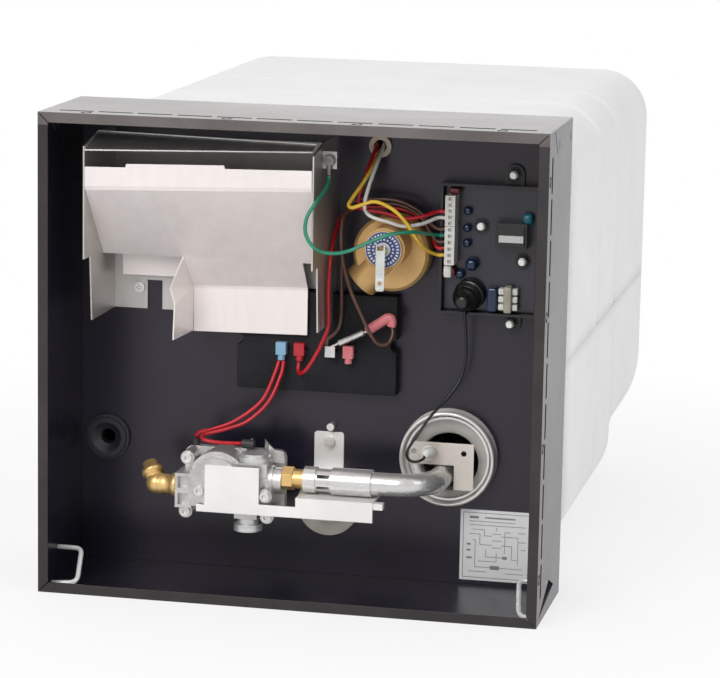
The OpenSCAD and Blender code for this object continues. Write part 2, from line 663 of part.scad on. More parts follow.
// Outline of a side plate, with the hood's depth at that end
module exhaust_side(hood_depth) polygon([[0, exhaust_bottom], [-exhaust_low_depth, exhaust_bottom],
    [-exhaust_low_depth - 4, exhaust_step_z], [-exhaust_depth, exhaust_step_z], [-exhaust_depth, hood_z],
    [hood_depth - exhaust_depth, hood_z + hood_rise], [0, hood_z + hood_rise]]);
module exhaust_box() color([0.80, 0.78, 0.77]) on_panel() {
    translate([exhaust_left, 0, 0]) side_plate(exhaust_t) exhaust_side(hood_left);
    translate([exhaust_right - exhaust_t, 0, 0]) side_plate(exhaust_t) difference() {
        exhaust_side(hood_left);
        translate([-cover_t - 1, exhaust_bottom - 1]) square([cover_t + 2, cover_top + 2 - exhaust_bottom]);
    }
    difference() {
        front_plate(exhaust_t) polygon([[exhaust_left, exhaust_bottom], [cover_left - 3, exhaust_bottom],
            [cover_left - 3, cover_top + 1], [exhaust_right, cover_top + 1], [exhaust_right, hood_z],
            [exhaust_left + 10, hood_z], [exhaust_left, hood_z - 10]]);
        translate([flue_x, 0, flue_z]) rod(flue_d + 2 * fit_clear, -1, 2);
        translate([exhaust_left + 23, -2, exhaust_bottom - 1]) cube([10, 4, 20]);
    }
    difference() {
        block(exhaust_right + earth_tab_w / 2 - exhaust_t / 2, hood_z - 5, earth_tab_w + exhaust_t, earth_tab_h,
            earth_tab_depth - exhaust_t, earth_tab_depth);
        translate([exhaust_right + earth_tab_w / 2, 0, hood_z - 5])
            rod(3.4, earth_tab_depth - 2, earth_tab_depth + 1);
    }
}
module exhaust_baffle() color([0.84, 0.82, 0.80]) on_panel() {
    cut = slope_depth(slope_cut_z);
    inner_w = exhaust_w - 2 * exhaust_t;
    t = exhaust_t * 1.4;
    translate([exhaust_left + exhaust_t, 0, 0]) side_plate(inner_w) polygon([[-baffle_front, band_top],
        [-baffle_front, band_bottom], [-cut, slope_cut_z], [t - cut, slope_cut_z],
        [t - baffle_front, band_bottom], [t - baffle_front, band_top]]);
    translate([scoop_left, 0, 0]) side_plate(scoop_right - scoop_left) polygon([[-cut, slope_cut_z],
        [-baffle_foot, slope_foot_z], [-baffle_foot, baffle_lip_z], [t - baffle_foot, baffle_lip_z],
        [t - baffle_foot, slope_foot_z], [t - cut, slope_cut_z]]);
    translate([scoop_left, 0, 0]) side_plate(exhaust_t) polygon([[t - baffle_foot, baffle_lip_z],
        [t - baffle_foot, slope_foot_z], [t - cut, slope_cut_z], [-scoop_depth + 6, slope_foot_z + 2],
        [-scoop_depth, slope_foot_z - 9], [-scoop_depth, baffle_lip_z - 2]]);
}
module exhaust_hood() color([0.80, 0.78, 0.77]) on_panel() {
    slope = atan(hood_rise / hood_left);
    left = exhaust_left + exhaust_t;
    right = exhaust_right - exhaust_t;
    translate([0, -exhaust_depth, hood_z - exhaust_t]) rotate([slope, 0, 0]) linear_extrude(exhaust_t)
        polygon([[left, 0], [right, 0], [right, hood_right], [left, hood_left]]);
}
module exhaust_screws() color([0.78, 0.78, 0.80]) on_panel()
    for (p = [[exhaust_left + 18, exhaust_bottom + 14], [exhaust_right - 9, exhaust_bottom + 34]])
        translate([p[0], 0, p[1]]) difference() {
            rod(exhaust_screw_d, exhaust_t, exhaust_t + 2.4);
            for (turn = [0, 90]) rotate([0, turn, 0]) block(0, 0, 4, 1, exhaust_t + 1.2, exhaust_t + 3);
        }
module earth_terminal() color([0.80, 0.79, 0.76]) on_panel(exhaust_right + earth_tab_w / 2, hood_z - 5) {
    rod(3, earth_tab_depth - 2, earth_tab_depth);
    difference() {
        rod(8, earth_tab_depth, earth_tab_depth + 1);
        rod(3.4, earth_tab_depth - 1, earth_tab_depth + 0.2);
    }
    rod(6.5, earth_tab_depth + 1, earth_tab_depth + 3.4);
    translate([0, -earth_tab_depth - 2, -9]) cylinder(d = 3.6, h = 6);
}

// Grommets and label

module wire_grommet() color([0.90, 0.88, 0.80]) on_panel(wire_grommet_x, wire_grommet_z) difference() {
    union() {
        rod(wire_grommet_d, 0, 3);
        rod(wire_grommet_d - 4 - 2 * fit_clear, -8, 0);
    }
    rod(wire_bore, -9, 4);
}
module gas_grommet() color([0.08, 0.08, 0.08]) on_panel(gas_grommet_x, gas_grommet_z) difference() {
    union() {
        rod(gas_grommet_d, 0, 3);
        rod(gas_grommet_d - 4, 3, 5);
        rod(gas_grommet_d - 6 - 2 * fit_clear, -8, 0);
    }
    rod(gas_bore, -9, 6);
    translate([0, -1, 0]) rotate([90, 0, 0]) cylinder(d1 = gas_bore, d2 = gas_grommet_d - 10, h = 4.01);
}
module wiring_label() color([0.86, 0.87, 0.88]) on_panel()
    block(box_w / 2 - sheet_t - 17 - label_w / 2, label_gap + label_w / 2, label_w, label_w, 0, label_t);

// Control board

module board_tray() color([0.06, 0.06, 0.07]) on_panel() difference() {
    union() {
        block(board_x, board_z, board_w, board_h, 0, board_depth);
        for (s = [-1, 1]) translate([board_x + 13.5, 0, board_z + s * (board_h / 2 + 6)]) {
            rod(13, 0, 3);
            block(0, -s * 4, 13, 8, 0, 3);
        }
    }
    block(board_x, board_z, board_w - 2 * tray_wall, board_h - 2 * tray_wall, tray_floor, board_depth + 1);
}
module circuit_board() color([0.07, 0.08, 0.09]) on_panel()
    block(board_x, board_z, board_w - 2 * tray_wall - 1, board_h - 2 * tray_wall - 1, tray_floor, pcb_front);
module board_connectors() color([0.90, 0.88, 0.84]) on_panel() {
    for (c = [[25, 19.5, 5], [2.8, 24.5, 6]]) difference() {
        block(connector_left + 3.2, board_z + c[0], 6.4, c[1], pcb_front, board_depth + 6);
        for (i = [0 : c[2] - 1]) let (z = (i - (c[2] - 1) / 2) * c[1] / c[2])
            block(connector_left + 3.4, board_z + c[0] + z, 2.4, 2, board_depth + 4, board_depth + 7);
    }
}
module relay() color([0.06, 0.06, 0.06]) on_panel() {
    block(board_x + 15, board_z + 10.6, 20, 16, pcb_front, pcb_front + 12);
    block(board_x + 15, board_z + 10.6, 17, 13, pcb_front + 12, pcb_front + 13);
}
module spark_coil() color([0.05, 0.05, 0.05]) on_panel(board_x - 12, board_z - 29) {
    rod(20, pcb_front, pcb_front + 5);
    rod(17, pcb_front + 5, pcb_front + 13);
    for (i = [0 : 2]) rod(18.6, pcb_front + 6.4 + 2.4 * i, pcb_front + 7.6 + 2.4 * i);
    translate([0, -pcb_front - 13, 0]) sphere(d = 13);
}
module board_parts() color([0.10, 0.22, 0.45]) on_panel() {
    for (p = [[24, 22.5, 6], [-14.6, 24.2, 5], [-14.9, 13.3, 5], [-14.7, 3.7, 5], [-11.1, -9.6, 7],
        [-18.7, -16.5, 6], [-23.2, 37.2, 4.6]]) translate([board_x + p[0], 0, board_z + p[1]]) {
        rod(p[2], pcb_front, pcb_front + p[2] / 2);
        translate([0, -pcb_front - p[2] / 2, 0]) sphere(d = p[2]);
    }
    // Spark transformer: a core with three windings on each side, and the block beside it
    block(board_x + 12.9, board_z - 31, 5, 17, pcb_front, pcb_front + 9);
    for (s = [-1, 1], i = [-1 : 1])
        block(board_x + 12.9 + s * 4.2, board_z - 31 + 5 * i, 3.4, 4, pcb_front, pcb_front + 6);
    block(board_x + 3, board_z - 31, 7, 16, pcb_front, pcb_front + 7);
}
module board_nuts() color([0.78, 0.78, 0.80]) on_panel()
    for (p = [[13.5, board_h / 2 + 6, 3], [13.5, -board_h / 2 - 6, 3], [-6, 14.7, pcb_front],
        [20.9, -6.7, pcb_front]])
        translate([board_x + p[0], 0, board_z + p[1]]) {
            rod(nut_d + 2, p[2], p[2] + 0.8);
            rod(nut_d, p[2] + 0.8, p[2] + 0.8 + nut_h, 6);
            rod(stud_d, p[2] + 0.8 + nut_h, p[2] + nut_h + 3);
        }

// Relief valve

module outlet_axis() translate([0, -(6 + relief_front) / 2, 0]) rotate([0, -135, 0]) children();
module relief_body() color([0.78, 0.58, 0.28]) on_panel(relief_x, relief_z) difference() {
    union() {
        rod(relief_thread, -tank_back - tank_wall, 1);
        rod(relief_d - 8, 0.6, 6);
        rod(relief_d, 6, relief_front - 2);
        translate([0, 2 - relief_front, 0]) rotate([90, 0, 0])
            cylinder(d1 = relief_d, d2 = relief_d - 4, h = 2);
        translate([0, 0, bonnet_up]) {
            rod(bonnet_d, relief_front, bonnet_front - 1.5);
            rod(bonnet_d - 3, bonnet_front - 1.5, bonnet_front);
        }
        outlet_axis() cylinder(d = outlet_d, h = outlet_len);
    }
    translate([0, 0, bonnet_up]) rod(stem_d + 2 * pin_clear, 8, bonnet_front + 1);
    outlet_axis() translate([0, 0, outlet_len - 14]) cylinder(d = outlet_bore, h = 15);
}
module relief_plate() color([0.20, 0.28, 0.55]) on_panel(relief_x, bonnet_z) difference() {
    rod(plate_d, bonnet_front, bonnet_front + 0.6);
    rod(stem_d + 1, bonnet_front - 1, bonnet_front + 1);
}
module relief_stem() color([0.76, 0.58, 0.30]) on_panel(relief_x, bonnet_z) difference() {
    union() {
        rod(stem_d, 14, pin_depth - 3);
        intersection() {
            rod(stem_d, pin_depth - 3, stem_front - 1);
            block(0, 0, stem_d - 1, stem_d * 2, pin_depth - 3, stem_front);
        }
    }
    translate([0, -pin_depth, 0]) bar_x(lever_pin + 2 * pin_clear, -stem_d, stem_d);
}
module relief_pin() color([0.76, 0.60, 0.32]) on_panel(relief_x, bonnet_z)
    translate([0, -pin_depth, 0]) bar_x(lever_pin, -lever_w / 2 - 0.6, lever_w / 2 + 0.6);
module relief_lever() color([0.72, 0.74, 0.74]) on_panel(relief_x, bonnet_z) difference() {
    union() {
        block(0, (3 - lever_len) / 2, lever_w, lever_len + 3, lever_back, lever_back + lever_t);
        for (s = [-1, 1]) translate([s * (lever_w - lever_t) / 2, 0, 0]) {
            translate([0, -pin_depth, 0]) bar_x(6, -lever_t / 2, lever_t / 2);
            block(0, 0, lever_t, 6, pin_depth, lever_back);
        }
    }
    translate([0, -pin_depth, 0]) bar_x(lever_pin + 2 * pin_clear, -lever_w, lever_w);
    translate([0, 0, 5 - lever_len]) rod(2.6, stem_front, lever_back + lever_t + 1);
}

// Thermostats and their terminals

module thermostat_cover() color([0.05, 0.05, 0.06]) on_panel() difference() {
    block(cover_x, cover_z, cover_w, cover_h, 0, cover_t);
    for (s = [-1, 1])
        translate([cover_x + s * cover_w / 2, 0, cover_z]) rod(2 * cover_notch, -1, cover_t + 1);
    for (x = [limit_x, control_x]) {
        translate([x, 0, stat_z]) rod(stat_d + 2 * fit_clear, -1, 6.4);
        for (s = [-1, 1]) block(x + s * tab_spacing / 2, stat_z, 7.4, 2, 5, cover_t + 1);
    }
}
module thermostat(x) on_panel(x, stat_z) {
    rod(stat_d, -tank_back + 0.3, 6);
    for (s = [-1, 1]) block(s * tab_spacing / 2, 0, 6.3, 0.8, 6, terminal_depth);
}
module limit_thermostat() color([0.20, 0.18, 0.17]) thermostat(limit_x);
module control_thermostat() color([0.20, 0.18, 0.17]) thermostat(control_x);
// Insulated flag terminal: a flat sleeve over the tab and a round barrel below it
module flag_terminal(x) on_panel(x, stat_z) {
    block(0, 0.5, 6.6, 8, terminal_depth, terminal_depth + 5);
    translate([0, -terminal_depth - 2.5, -7]) cylinder(d = 4.8, h = 4);
}
module blue_terminal() color([0.45, 0.62, 0.75]) flag_terminal(limit_x - tab_spacing / 2);
module red_terminal() color([0.72, 0.10, 0.13]) flag_terminal(limit_x + tab_spacing / 2);
FUSE_START = [control_x - tab_spacing / 2, -terminal_depth - 2.5, stat_z + 3];
FUSE_END = [36, -20, 168 + mid_move];
SLEEVE_END = [48.6, -20, 176.8 + mid_move];
module pink_terminals() color([0.85, 0.45, 0.50]) {
    flag_terminal(control_x + tab_spacing / 2);
    on_panel() {
        bar(FUSE_END, SLEEVE_END, 6.4);
        translate(SLEEVE_END) sphere(d = 6.4);
    }
}
module thermal_fuse() color([0.80, 0.80, 0.78]) on_panel() {
    block(control_x - tab_spacing / 2, stat_z, 6.6, 7, terminal_depth, terminal_depth + 4);
    bar(FUSE_START, FUSE_END, 1.6);
    bar(FUSE_START + 0.25 * (FUSE_END - FUSE_START), FUSE_START + 0.9 * (FUSE_END - FUSE_START), 4);
}

// Gas valve

// Places of the gas valve's screws, and the heights of their bosses
VALVE_SCREWS = [[-63.4, 65.8, 60], [-20.6, 64.5, 58], [-20.8, 49.5, 52], [-73.3, 85, 52], [-74.4, 50, 52]];
module gas_valve_body() color([0.80, 0.80, 0.80]) on_panel() difference() {
    union() {
        translate([valve_x - 1, -30, valve_z + 1.5]) front_plate(valve_flange_t) round_rect(66, 42, 5);
        translate([valve_x - 8, 0, valve_z + 4.5]) {
            rod(drum_d, 30, bracket_depth - 6);
            rod(drum_d - 6, bracket_depth - 6, bracket_depth);
        }
        block(valve_x - 2, valve_z, 46, 24, 36, bracket_depth - 2);
        // Cover of the coil behind the upper cap
        translate([-30.5, -36, 0]) front_plate(2) polygon([[-13, 82], [-11, 91], [-4, 97], [4, 97], [8, 93],
            [11, 90.5], [17, 89.5], [18, 82]]);
        // Square inlet flange with its two pockets
        block(-74.6, 64.6, 10.8, 22.4, 34, 58);
        translate([0, -tube_depth, tube_z - 2]) bar_x(19, valve_x + 12, -17);
        translate([0, -tube_depth, tube_z - 2]) bar_x(17, -17, -11.5);
        for (p = VALVE_SCREWS) translate([p[0], 0, p[1]]) rod(9, 30, p[2]);
        // Flat seats for the two caps
        block(-30.5, 80, 21, 9, tube_depth - 10.5, tube_depth + 10.5);
        block(-34.4, 52, 15, 9, tube_depth - 7.5, tube_depth + 7.5);
    }
    for (z = [59.1, 70.1]) block(-74.6, z, 7, 7.5, 54, 59);
    translate([-30.5, -tube_depth, 84.5]) cylinder(d = 21.6, h = 20);
    translate([-34.4, -tube_depth, 20]) cylinder(d = 19.4, h = 27.5);
}
module gas_valve_caps() color([0.76, 0.76, 0.77]) on_panel() {
    translate([-30.5, -tube_depth, 84.5]) {
        cylinder(d = 21, h = 3.4);
        translate([0, 0, 3.4]) cylinder(d = 17, h = 1.8);
    }
    translate([-34.4, -tube_depth, 39]) {
        cylinder(d = 18.5, h = 4.6);
        translate([0, 0, 4.6]) cylinder(d = 14, h = 3.9);
    }
}
module gas_valve_screws() color([0.62, 0.62, 0.63]) on_panel()
    for (p = VALVE_SCREWS)
        translate([p[0], 0, p[1]]) difference() {
            rod(6.4, p[2], p[2] + 2.4);
            rod(3.4, p[2] + 1, p[2] + 3, 6);
        }
// Rubber boots over the two spade terminals of the valve's coils
module coil_boots() color([0.06, 0.06, 0.06]) on_panel() {
    translate([0, -41, 94]) bar_x(6, -40, -32);
    translate([-73, -33, 89.5]) cylinder(d = 5.2, h = 4.6);
}
module inlet_elbow() color([0.80, 0.60, 0.26]) on_panel() {
    corner = [-92, -tube_depth, 65.5];
    way = unit([-0.35, 0.5, 0.79]);
    translate([0, -tube_depth, 65.5]) {
        bar_x(15.6, -84.5, -80, 6);
        bar_x(13, -92, -84.5);
    }
    translate(corner) sphere(d = 14.5);
    bar(corner, corner + 7 * way, 12.6);
    bar(corner + 7 * way, corner + 10 * way, 15, 6);
    bar(corner + 10 * way, corner + (10 + gas_thread_len) * way, gas_thread);
}
module gas_orifice() color([0.82, 0.62, 0.26]) on_panel() translate([0, -tube_depth, tube_z]) {
    bar_x(15.4, -11.4, -4.5, 6);
    bar_x(12.4, -4.5, tube_start - 0.1);
    bar_x(7, tube_start - 0.1, tube_start + 5);
}

// Burner

module burner_bracket() color([0.84, 0.83, 0.82]) on_panel() {
    front = bracket_depth + bracket_t;
    shelf_z = tube_z - shutter_r - shutter_gap - bracket_t / 2;
    // The shelf's rear part steps up to clear the drain plug
    step = max(4.2, drain_z + drain_d / 2 + 0.45 + bracket_t / 2 - shelf_z);
    // Tab on the panel
    difference() {
        translate([bracket_x, 0, 83]) front_plate(bracket_t) round_rect(19.6, 27, 2);
        translate([bracket_x + 0.6, 0, 90]) rod(4.4, -1, 3);
    }
    // Shelf behind and below the tube
    block(bracket_x, shelf_z + step, 19.6, bracket_t, bracket_t / 2, tube_depth - 10);
    block(bracket_x, shelf_z + step / 2, 19.6, step + bracket_t, tube_depth - 10 - bracket_t, tube_depth - 10);
    block(25, shelf_z, 50, bracket_t, tube_depth - 10 - bracket_t, front);
    // Strip along the front, and the plate over the gas valve
    translate([0, -bracket_depth, 0]) front_plate(bracket_t) polygon([[-65, 52.5], [50, 52.5],
        [50, shelf_z + bracket_t / 2], [0, shelf_z + bracket_t / 2], [0, 59.5], [-24, 59.5], [-24, 83],
        [-59.5, 83], [-59.5, 57], [-65, 57]]);
    block(53, shelf_z - 2, 6.4, 4, bracket_depth - 6, bracket_depth);
}
module bracket_screws() color([0.80, 0.80, 0.80]) on_panel() {
    translate([bracket_x + 0.6, 0, 90]) {
        rod(7, bracket_t, bracket_t + 2.4);
        rod(4, 0, bracket_t);
    }
    translate([bracket_x + 1.7, 0, 100.5]) rod(5, 0, 6);
}
module burner_tube() color([0.78, 0.78, 0.79]) on_panel() difference() {
    union() {
        translate([0, -tube_depth, tube_z]) {
            bar_x(tube_d, tube_start, tube_bend_x);
            bar_x(tube_d + 2, tube_start, tube_start + tube_collar);
        }
        translate([tube_bend_x, tube_bend - tube_depth, tube_z]) rotate([0, 0, -90])
            rotate_extrude(angle = 90) translate([tube_bend, 0]) circle(d = tube_d);
        translate([tube_leg_x, 0, tube_z]) rod(tube_d, -tube_reach, tube_depth - tube_bend);
    }
    translate([0, -tube_depth, tube_z]) {
        bar_x(tube_d - 2 * tube_wall, tube_start + 6, tube_bend_x);
        bar_x(7 + 2 * fit_clear, tube_start - 1, tube_start + 7);
        for (turn = [0 : 60 : 300]) rotate([turn, 0, 0]) translate([air_slot_x, -air_slot_w / 2, 0])
            cube([air_slot_len - 1, air_slot_w, tube_d]);
    }
    translate([tube_bend_x, tube_bend - tube_depth, tube_z]) rotate([0, 0, -90])
        rotate_extrude(angle = 90) translate([tube_bend, 0]) circle(d = tube_d - 2 * tube_wall);
    translate([tube_leg_x, 0, tube_z]) rod(tube_d - 2 * tube_wall, -tube_reach - 1, tube_depth - tube_bend);
}
module air_shutter() color([0.82, 0.82, 0.82]) on_panel() translate([0, -tube_depth, tube_z]) {
    bore = tube_d + 2 * pin_clear;
    difference() {
        bar_x(bore + 2 * shutter_wall, shutter_x, shutter_x + shutter_len);
        bar_x(bore, shutter_x - 1, shutter_x + shutter_len + 1);
        translate([shutter_x - 1, -shutter_split / 2, 0]) cube([shutter_len + 2, shutter_split, tube_d]);
    }
}
module burner_ring() color([0.80, 0.80, 0.81]) on_panel(burner_x, burner_z) difference() {
    union() {
        rod(ring_bore + 2 * ring_wall, 0, ring_depth - ring_bead / 2);
        rod(ring_bore + 2 * ring_wall + 2, 0, 1.5);
        translate([0, ring_bead / 2 - ring_depth, 0]) rotate([90, 0, 0]) rotate_extrude()
            translate([ring_bore / 2 + ring_wall / 2, 0]) circle(d = ring_bead);
    }
    rod(ring_bore, -1, ring_depth + 1);
}
module igniter_plate() color([0.80, 0.78, 0.75]) on_panel() difference() {
    low = tube_z + tube_d / 2 + 0.4;
    translate([0, -igniter_plate_depth, 0]) front_plate(igniter_plate_t) polygon([[64, low],
        [tube_leg_x + 8.3, low], [tube_leg_x + 8.3, 66.5], [106, 66.5], [106, 97], [64, 97]]);
    for (x = [67, 99.5]) translate([x, 0, 90.6]) rod(3.6, igniter_plate_depth - 1, igniter_plate_depth + 3);
    translate([76, 0, 90.2]) rod(igniter_d + 2 * fit_clear, igniter_plate_depth - 1, igniter_plate_depth + 3);
}
module igniter() color([0.93, 0.92, 0.88]) on_panel(76, 90.2) {
    rod(igniter_d, 2, 24);
    rod(igniter_d + 2.4, igniter_plate_depth + igniter_plate_t, igniter_plate_depth + igniter_plate_t + 3);
    rod(5, 24, 26);
    rod(1.8, -12, 2);
}

// Wire bails that carry the door: a pivot leg in the side wall, an arm, and a foot on the housing's floor
module hinge_wire(side) color([0.85, 0.85, 0.86]) translate([0, front_y, 0]) {
    rest_z = sheet_t + bail_d / 2 + 0.4;
    wall_x = box_w / 2;
    a = [side * (wall_x - 8), bail_y, bail_z];
    b = [side * (wall_x - 17.5), bail_y, bail_z];
    c = [side * (wall_x - 17.5) + bail_lean, bail_y - 22, rest_z];
    d = [side * (wall_x - 5), bail_y - 26, rest_z];
    translate([0, bail_y, bail_z]) bar_x(bail_d, min(side * (wall_x - 0.1), side * (wall_x - 9)),
        max(side * (wall_x - 0.1), side * (wall_x - 9)));
    tube(concat([a], bend(a, b, c, 5), bend(b, c, d, 6), [d]), bail_d * 0.99, 12);
}
module hinge_wire_left() hinge_wire(-1);
module hinge_wire_right() hinge_wire(1);

// Leads

module wires_red() color([0.75, 0.08, 0.12]) {
    lead(RED_SUPPLY, lead_d, top_move, mid_move);
    lead(RED_LIMIT, lead_d, mid_move, mid_move);
    lead(RED_VALVE, lead_d, mid_move, 0);
    lead(RED_COIL, lead_d, mid_move, 0);
}
module wire_white() color([0.93, 0.91, 0.88]) lead(WHITE_SUPPLY, lead_d, top_move, mid_move);
module wire_yellow() color([0.92, 0.75, 0.20]) lead(YELLOW_SUPPLY, lead_d, top_move, mid_move);
module wire_green() color([0.08, 0.45, 0.30]) lead(GREEN_EARTH, lead_d, top_move, mid_move);
module wires_brown() color([0.38, 0.26, 0.22]) {
    lead(BROWN_FUSE, lead_d, mid_move, mid_move);
    lead(BROWN_CONTROL, lead_d, mid_move, mid_move);
}
module spark_lead() color([0.06, 0.06, 0.06]) lead(SPARK, spark_lead_d, mid_move, 0);

housing_top();
housing_bottom();
housing_left();
housing_right();
back_panel();
jacket_upper();
jacket_lower();
tank_shell();
flue_tube();
water_ports();
drain_plug();
exhaust_box();
exhaust_baffle();
exhaust_hood();
exhaust_screws();
earth_terminal();
wire_grommet();
gas_grommet();
board_tray();
circuit_board();
board_connectors();
relay();
spark_coil();
board_parts();
board_nuts();
relief_body();
relief_plate();
relief_stem();
relief_lever();
relief_pin();
thermostat_cover();
limit_thermostat();
control_thermostat();
blue_terminal();
red_terminal();
pink_terminals();
thermal_fuse();
gas_valve_body();
gas_valve_caps();
gas_valve_screws();
coil_boots();
inlet_elbow();
gas_orifice();
burner_bracket();
bracket_screws();
burner_tube();
air_shutter();
burner_ring();
igniter_plate();
igniter();
wiring_label();
hinge_wire_left();
hinge_wire_right();
wires_red();
wire_white();
wire_yellow();
wire_green();
wires_brown();
spark_lead();
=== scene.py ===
"""Looks of a gas water heater for a caravan, seen from the front with its door off."""

import bmesh
import bpy
import numpy as np
from mathutils import Matrix, Vector


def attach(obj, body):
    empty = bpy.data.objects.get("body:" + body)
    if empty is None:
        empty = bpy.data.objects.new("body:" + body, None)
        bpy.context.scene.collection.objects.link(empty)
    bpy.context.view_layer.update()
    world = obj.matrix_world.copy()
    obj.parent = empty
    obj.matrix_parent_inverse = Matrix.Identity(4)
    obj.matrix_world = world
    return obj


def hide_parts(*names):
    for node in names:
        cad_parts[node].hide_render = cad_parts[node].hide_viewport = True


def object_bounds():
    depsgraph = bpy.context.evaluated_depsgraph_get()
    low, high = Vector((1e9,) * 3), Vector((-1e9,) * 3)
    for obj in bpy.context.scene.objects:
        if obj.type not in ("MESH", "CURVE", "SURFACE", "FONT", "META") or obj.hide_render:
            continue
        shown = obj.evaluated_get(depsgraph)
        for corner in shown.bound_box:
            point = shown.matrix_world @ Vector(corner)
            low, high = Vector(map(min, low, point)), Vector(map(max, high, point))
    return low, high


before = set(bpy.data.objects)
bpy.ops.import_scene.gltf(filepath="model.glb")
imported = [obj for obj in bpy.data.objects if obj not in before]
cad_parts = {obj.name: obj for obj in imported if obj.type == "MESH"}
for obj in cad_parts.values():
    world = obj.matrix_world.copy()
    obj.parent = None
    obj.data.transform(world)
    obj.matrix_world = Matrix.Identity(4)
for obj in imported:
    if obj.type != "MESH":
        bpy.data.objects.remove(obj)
cad_box = [list(map(float, corner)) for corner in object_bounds()]


# Viewpoint: a long lens a little above the heater and to its right, as in a catalogue photograph.
# The focal length is given in pixels of the picture, and the three angles in degrees.

SENSOR_WIDTH = 36.0
PICTURE_PIXELS = 720
FOCAL_PIXELS = 3179
CAMERA_PLACE = (0.447, -2.1235, 0.539)
CAMERA_YAW, CAMERA_PITCH, CAMERA_ROLL = 12.03, 10.69, 1.05


def look_from(place, yaw, pitch, roll):
    """Camera matrix: the forward axis from yaw and pitch, the two others turned about it by roll."""
    yaw, pitch, roll = np.radians([yaw, pitch, roll])
    ahead = np.array([-np.sin(yaw) * np.cos(pitch), np.cos(yaw) * np.cos(pitch), -np.sin(pitch)])
    level = np.array([np.cos(yaw), np.sin(yaw), 0.0])
    above = np.cross(level, ahead)
    right = np.cos(roll) * level + np.sin(roll) * above
    up = np.cos(roll) * above - np.sin(roll) * level
    turn = Matrix(np.column_stack([right, up, -ahead]).tolist()).to_4x4()
    turn.translation = Vector(place)
    return turn


camera_data = bpy.data.cameras.new("viewpoint")
camera_data.sensor_fit = "HORIZONTAL"
camera_data.sensor_width = SENSOR_WIDTH
camera_data.lens = SENSOR_WIDTH * FOCAL_PIXELS / PICTURE_PIXELS
camera_data.clip_end = 50
viewpoint = bpy.data.objects.new("viewpoint", camera_data)
viewpoint.matrix_world = look_from(CAMERA_PLACE, CAMERA_YAW, CAMERA_PITCH, CAMERA_ROLL)
bpy.context.scene.collection.objects.link(viewpoint)
bpy.context.scene.camera = viewpoint
bpy.context.scene.view_settings.view_transform = "Standard"


# Studio: a white floor that runs out of the picture, plain white to the lens away from the heater,
# a pale surround that is darker in front of the heater, two soft lamps, and a bright card at the
# rear that shows only in reflections.

FLOOR_CORNERS = np.array([[(-12, -6, 0), (-12, 16, 0)], [(12, -6, 0), (12, 16, 0)]])
SHADOW_NEAR, SHADOW_FAR = 0.22, 0.6
GLOW_NEAR, GLOW_FAR = 0.7, 1.0
FRONT_SKY, REAR_SKY = 0.3, 0.9


def surface(name, *grids, closed=False, smooth=True):
    """Mesh of grids of points: quads join each point to the next row and column, and poles are merged."""
    points, quads, start = [], [], 0
    for grid in grids:
        rows, columns = grid.shape[:2]
        index = start + np.arange(rows * columns).reshape(rows, columns)
        if closed:
            index = np.concatenate([index, index[:, :1]], axis=1)
        corners = [index[:-1, :-1], index[:-1, 1:], index[1:, 1:], index[1:, :-1]]
        quads.append(np.stack(corners, -1).reshape(-1, 4))
        points.append(np.asarray(grid, float).reshape(-1, 3))
        start += rows * columns
    mesh = bpy.data.meshes.new(name)
    mesh.from_pydata(np.vstack(points).tolist(), [], np.vstack(quads).tolist())
    work = bmesh.new()
    work.from_mesh(mesh)
    bmesh.ops.remove_doubles(work, verts=work.verts, dist=1e-6)
    bmesh.ops.recalc_face_normals(work, faces=work.faces)
    work.to_mesh(mesh)
    work.free()
    mesh.polygons.foreach_set("use_smooth", np.full(len(mesh.polygons), smooth))
    mesh.update()
    piece = bpy.data.objects.new(name, mesh)
    bpy.context.scene.collection.objects.link(piece)
    return piece


def start_material(name):
    """New node material; gives the material, its node tree and its main shader."""
    material = bpy.data.materials.new(name)
    material.use_nodes = True
    tree = material.node_tree
    return material, tree, tree.nodes["Principled BSDF"]


def node(tree, kind, inputs=(), **settings):
    """Adds a node: settings by name, inputs as pairs of socket and value or source."""
    made = tree.nodes.new(kind)
    for key, value in settings.items():
        setattr(made, key, value)
    for socket, value in dict(inputs).items():
        if isinstance(value, bpy.types.NodeSocket):
            tree.links.new(value, made.inputs[socket])
        else:
            made.inputs[socket].default_value = value
    return made


def math(tree, operation, a, b=0.0):
    """One step of arithmetic on values or sockets."""
    return node(tree, "ShaderNodeMath", {0: a, 1: b}, operation=operation).outputs[0]


def vector_math(tree, operation, a, b=(0, 0, 0)):
    """One step of vector arithmetic: a number for LENGTH and DISTANCE, otherwise a vector."""
    made = node(tree, "ShaderNodeVectorMath", {0: a, 1: b}, operation=operation)
    return made.outputs["Value" if operation in ("LENGTH", "DISTANCE") else "Vector"]


def object_point(tree):
    """Object coordinates of the shaded point, in metres."""
    return node(tree, "ShaderNodeTexCoord").outputs["Object"]


def split(tree, vector):
    """The three numbers of a vector, by the names of the axes."""
    return node(tree, "ShaderNodeSeparateXYZ", {"Vector": vector}).outputs


def ramp(tree, value, start, end, low, high):
    """A number that runs from low to high as the value goes from start to end, and stays there beyond."""
    inputs = {"Value": value, "From Min": start, "From Max": end, "To Min": low, "To Max": high}
    return node(tree, "ShaderNodeMapRange", inputs).outputs["Result"]


def seen_by_lens(tree):
    """Factor that is 1 for rays from the lens, in mirrors and through glass, and 0 for diffuse light."""
    ray = node(tree, "ShaderNodeLightPath").outputs
    direct = math(tree, "MAXIMUM", ray["Is Camera Ray"], ray["Is Transmission Ray"])
    return math(tree, "MAXIMUM", direct, ray["Is Glossy Ray"])


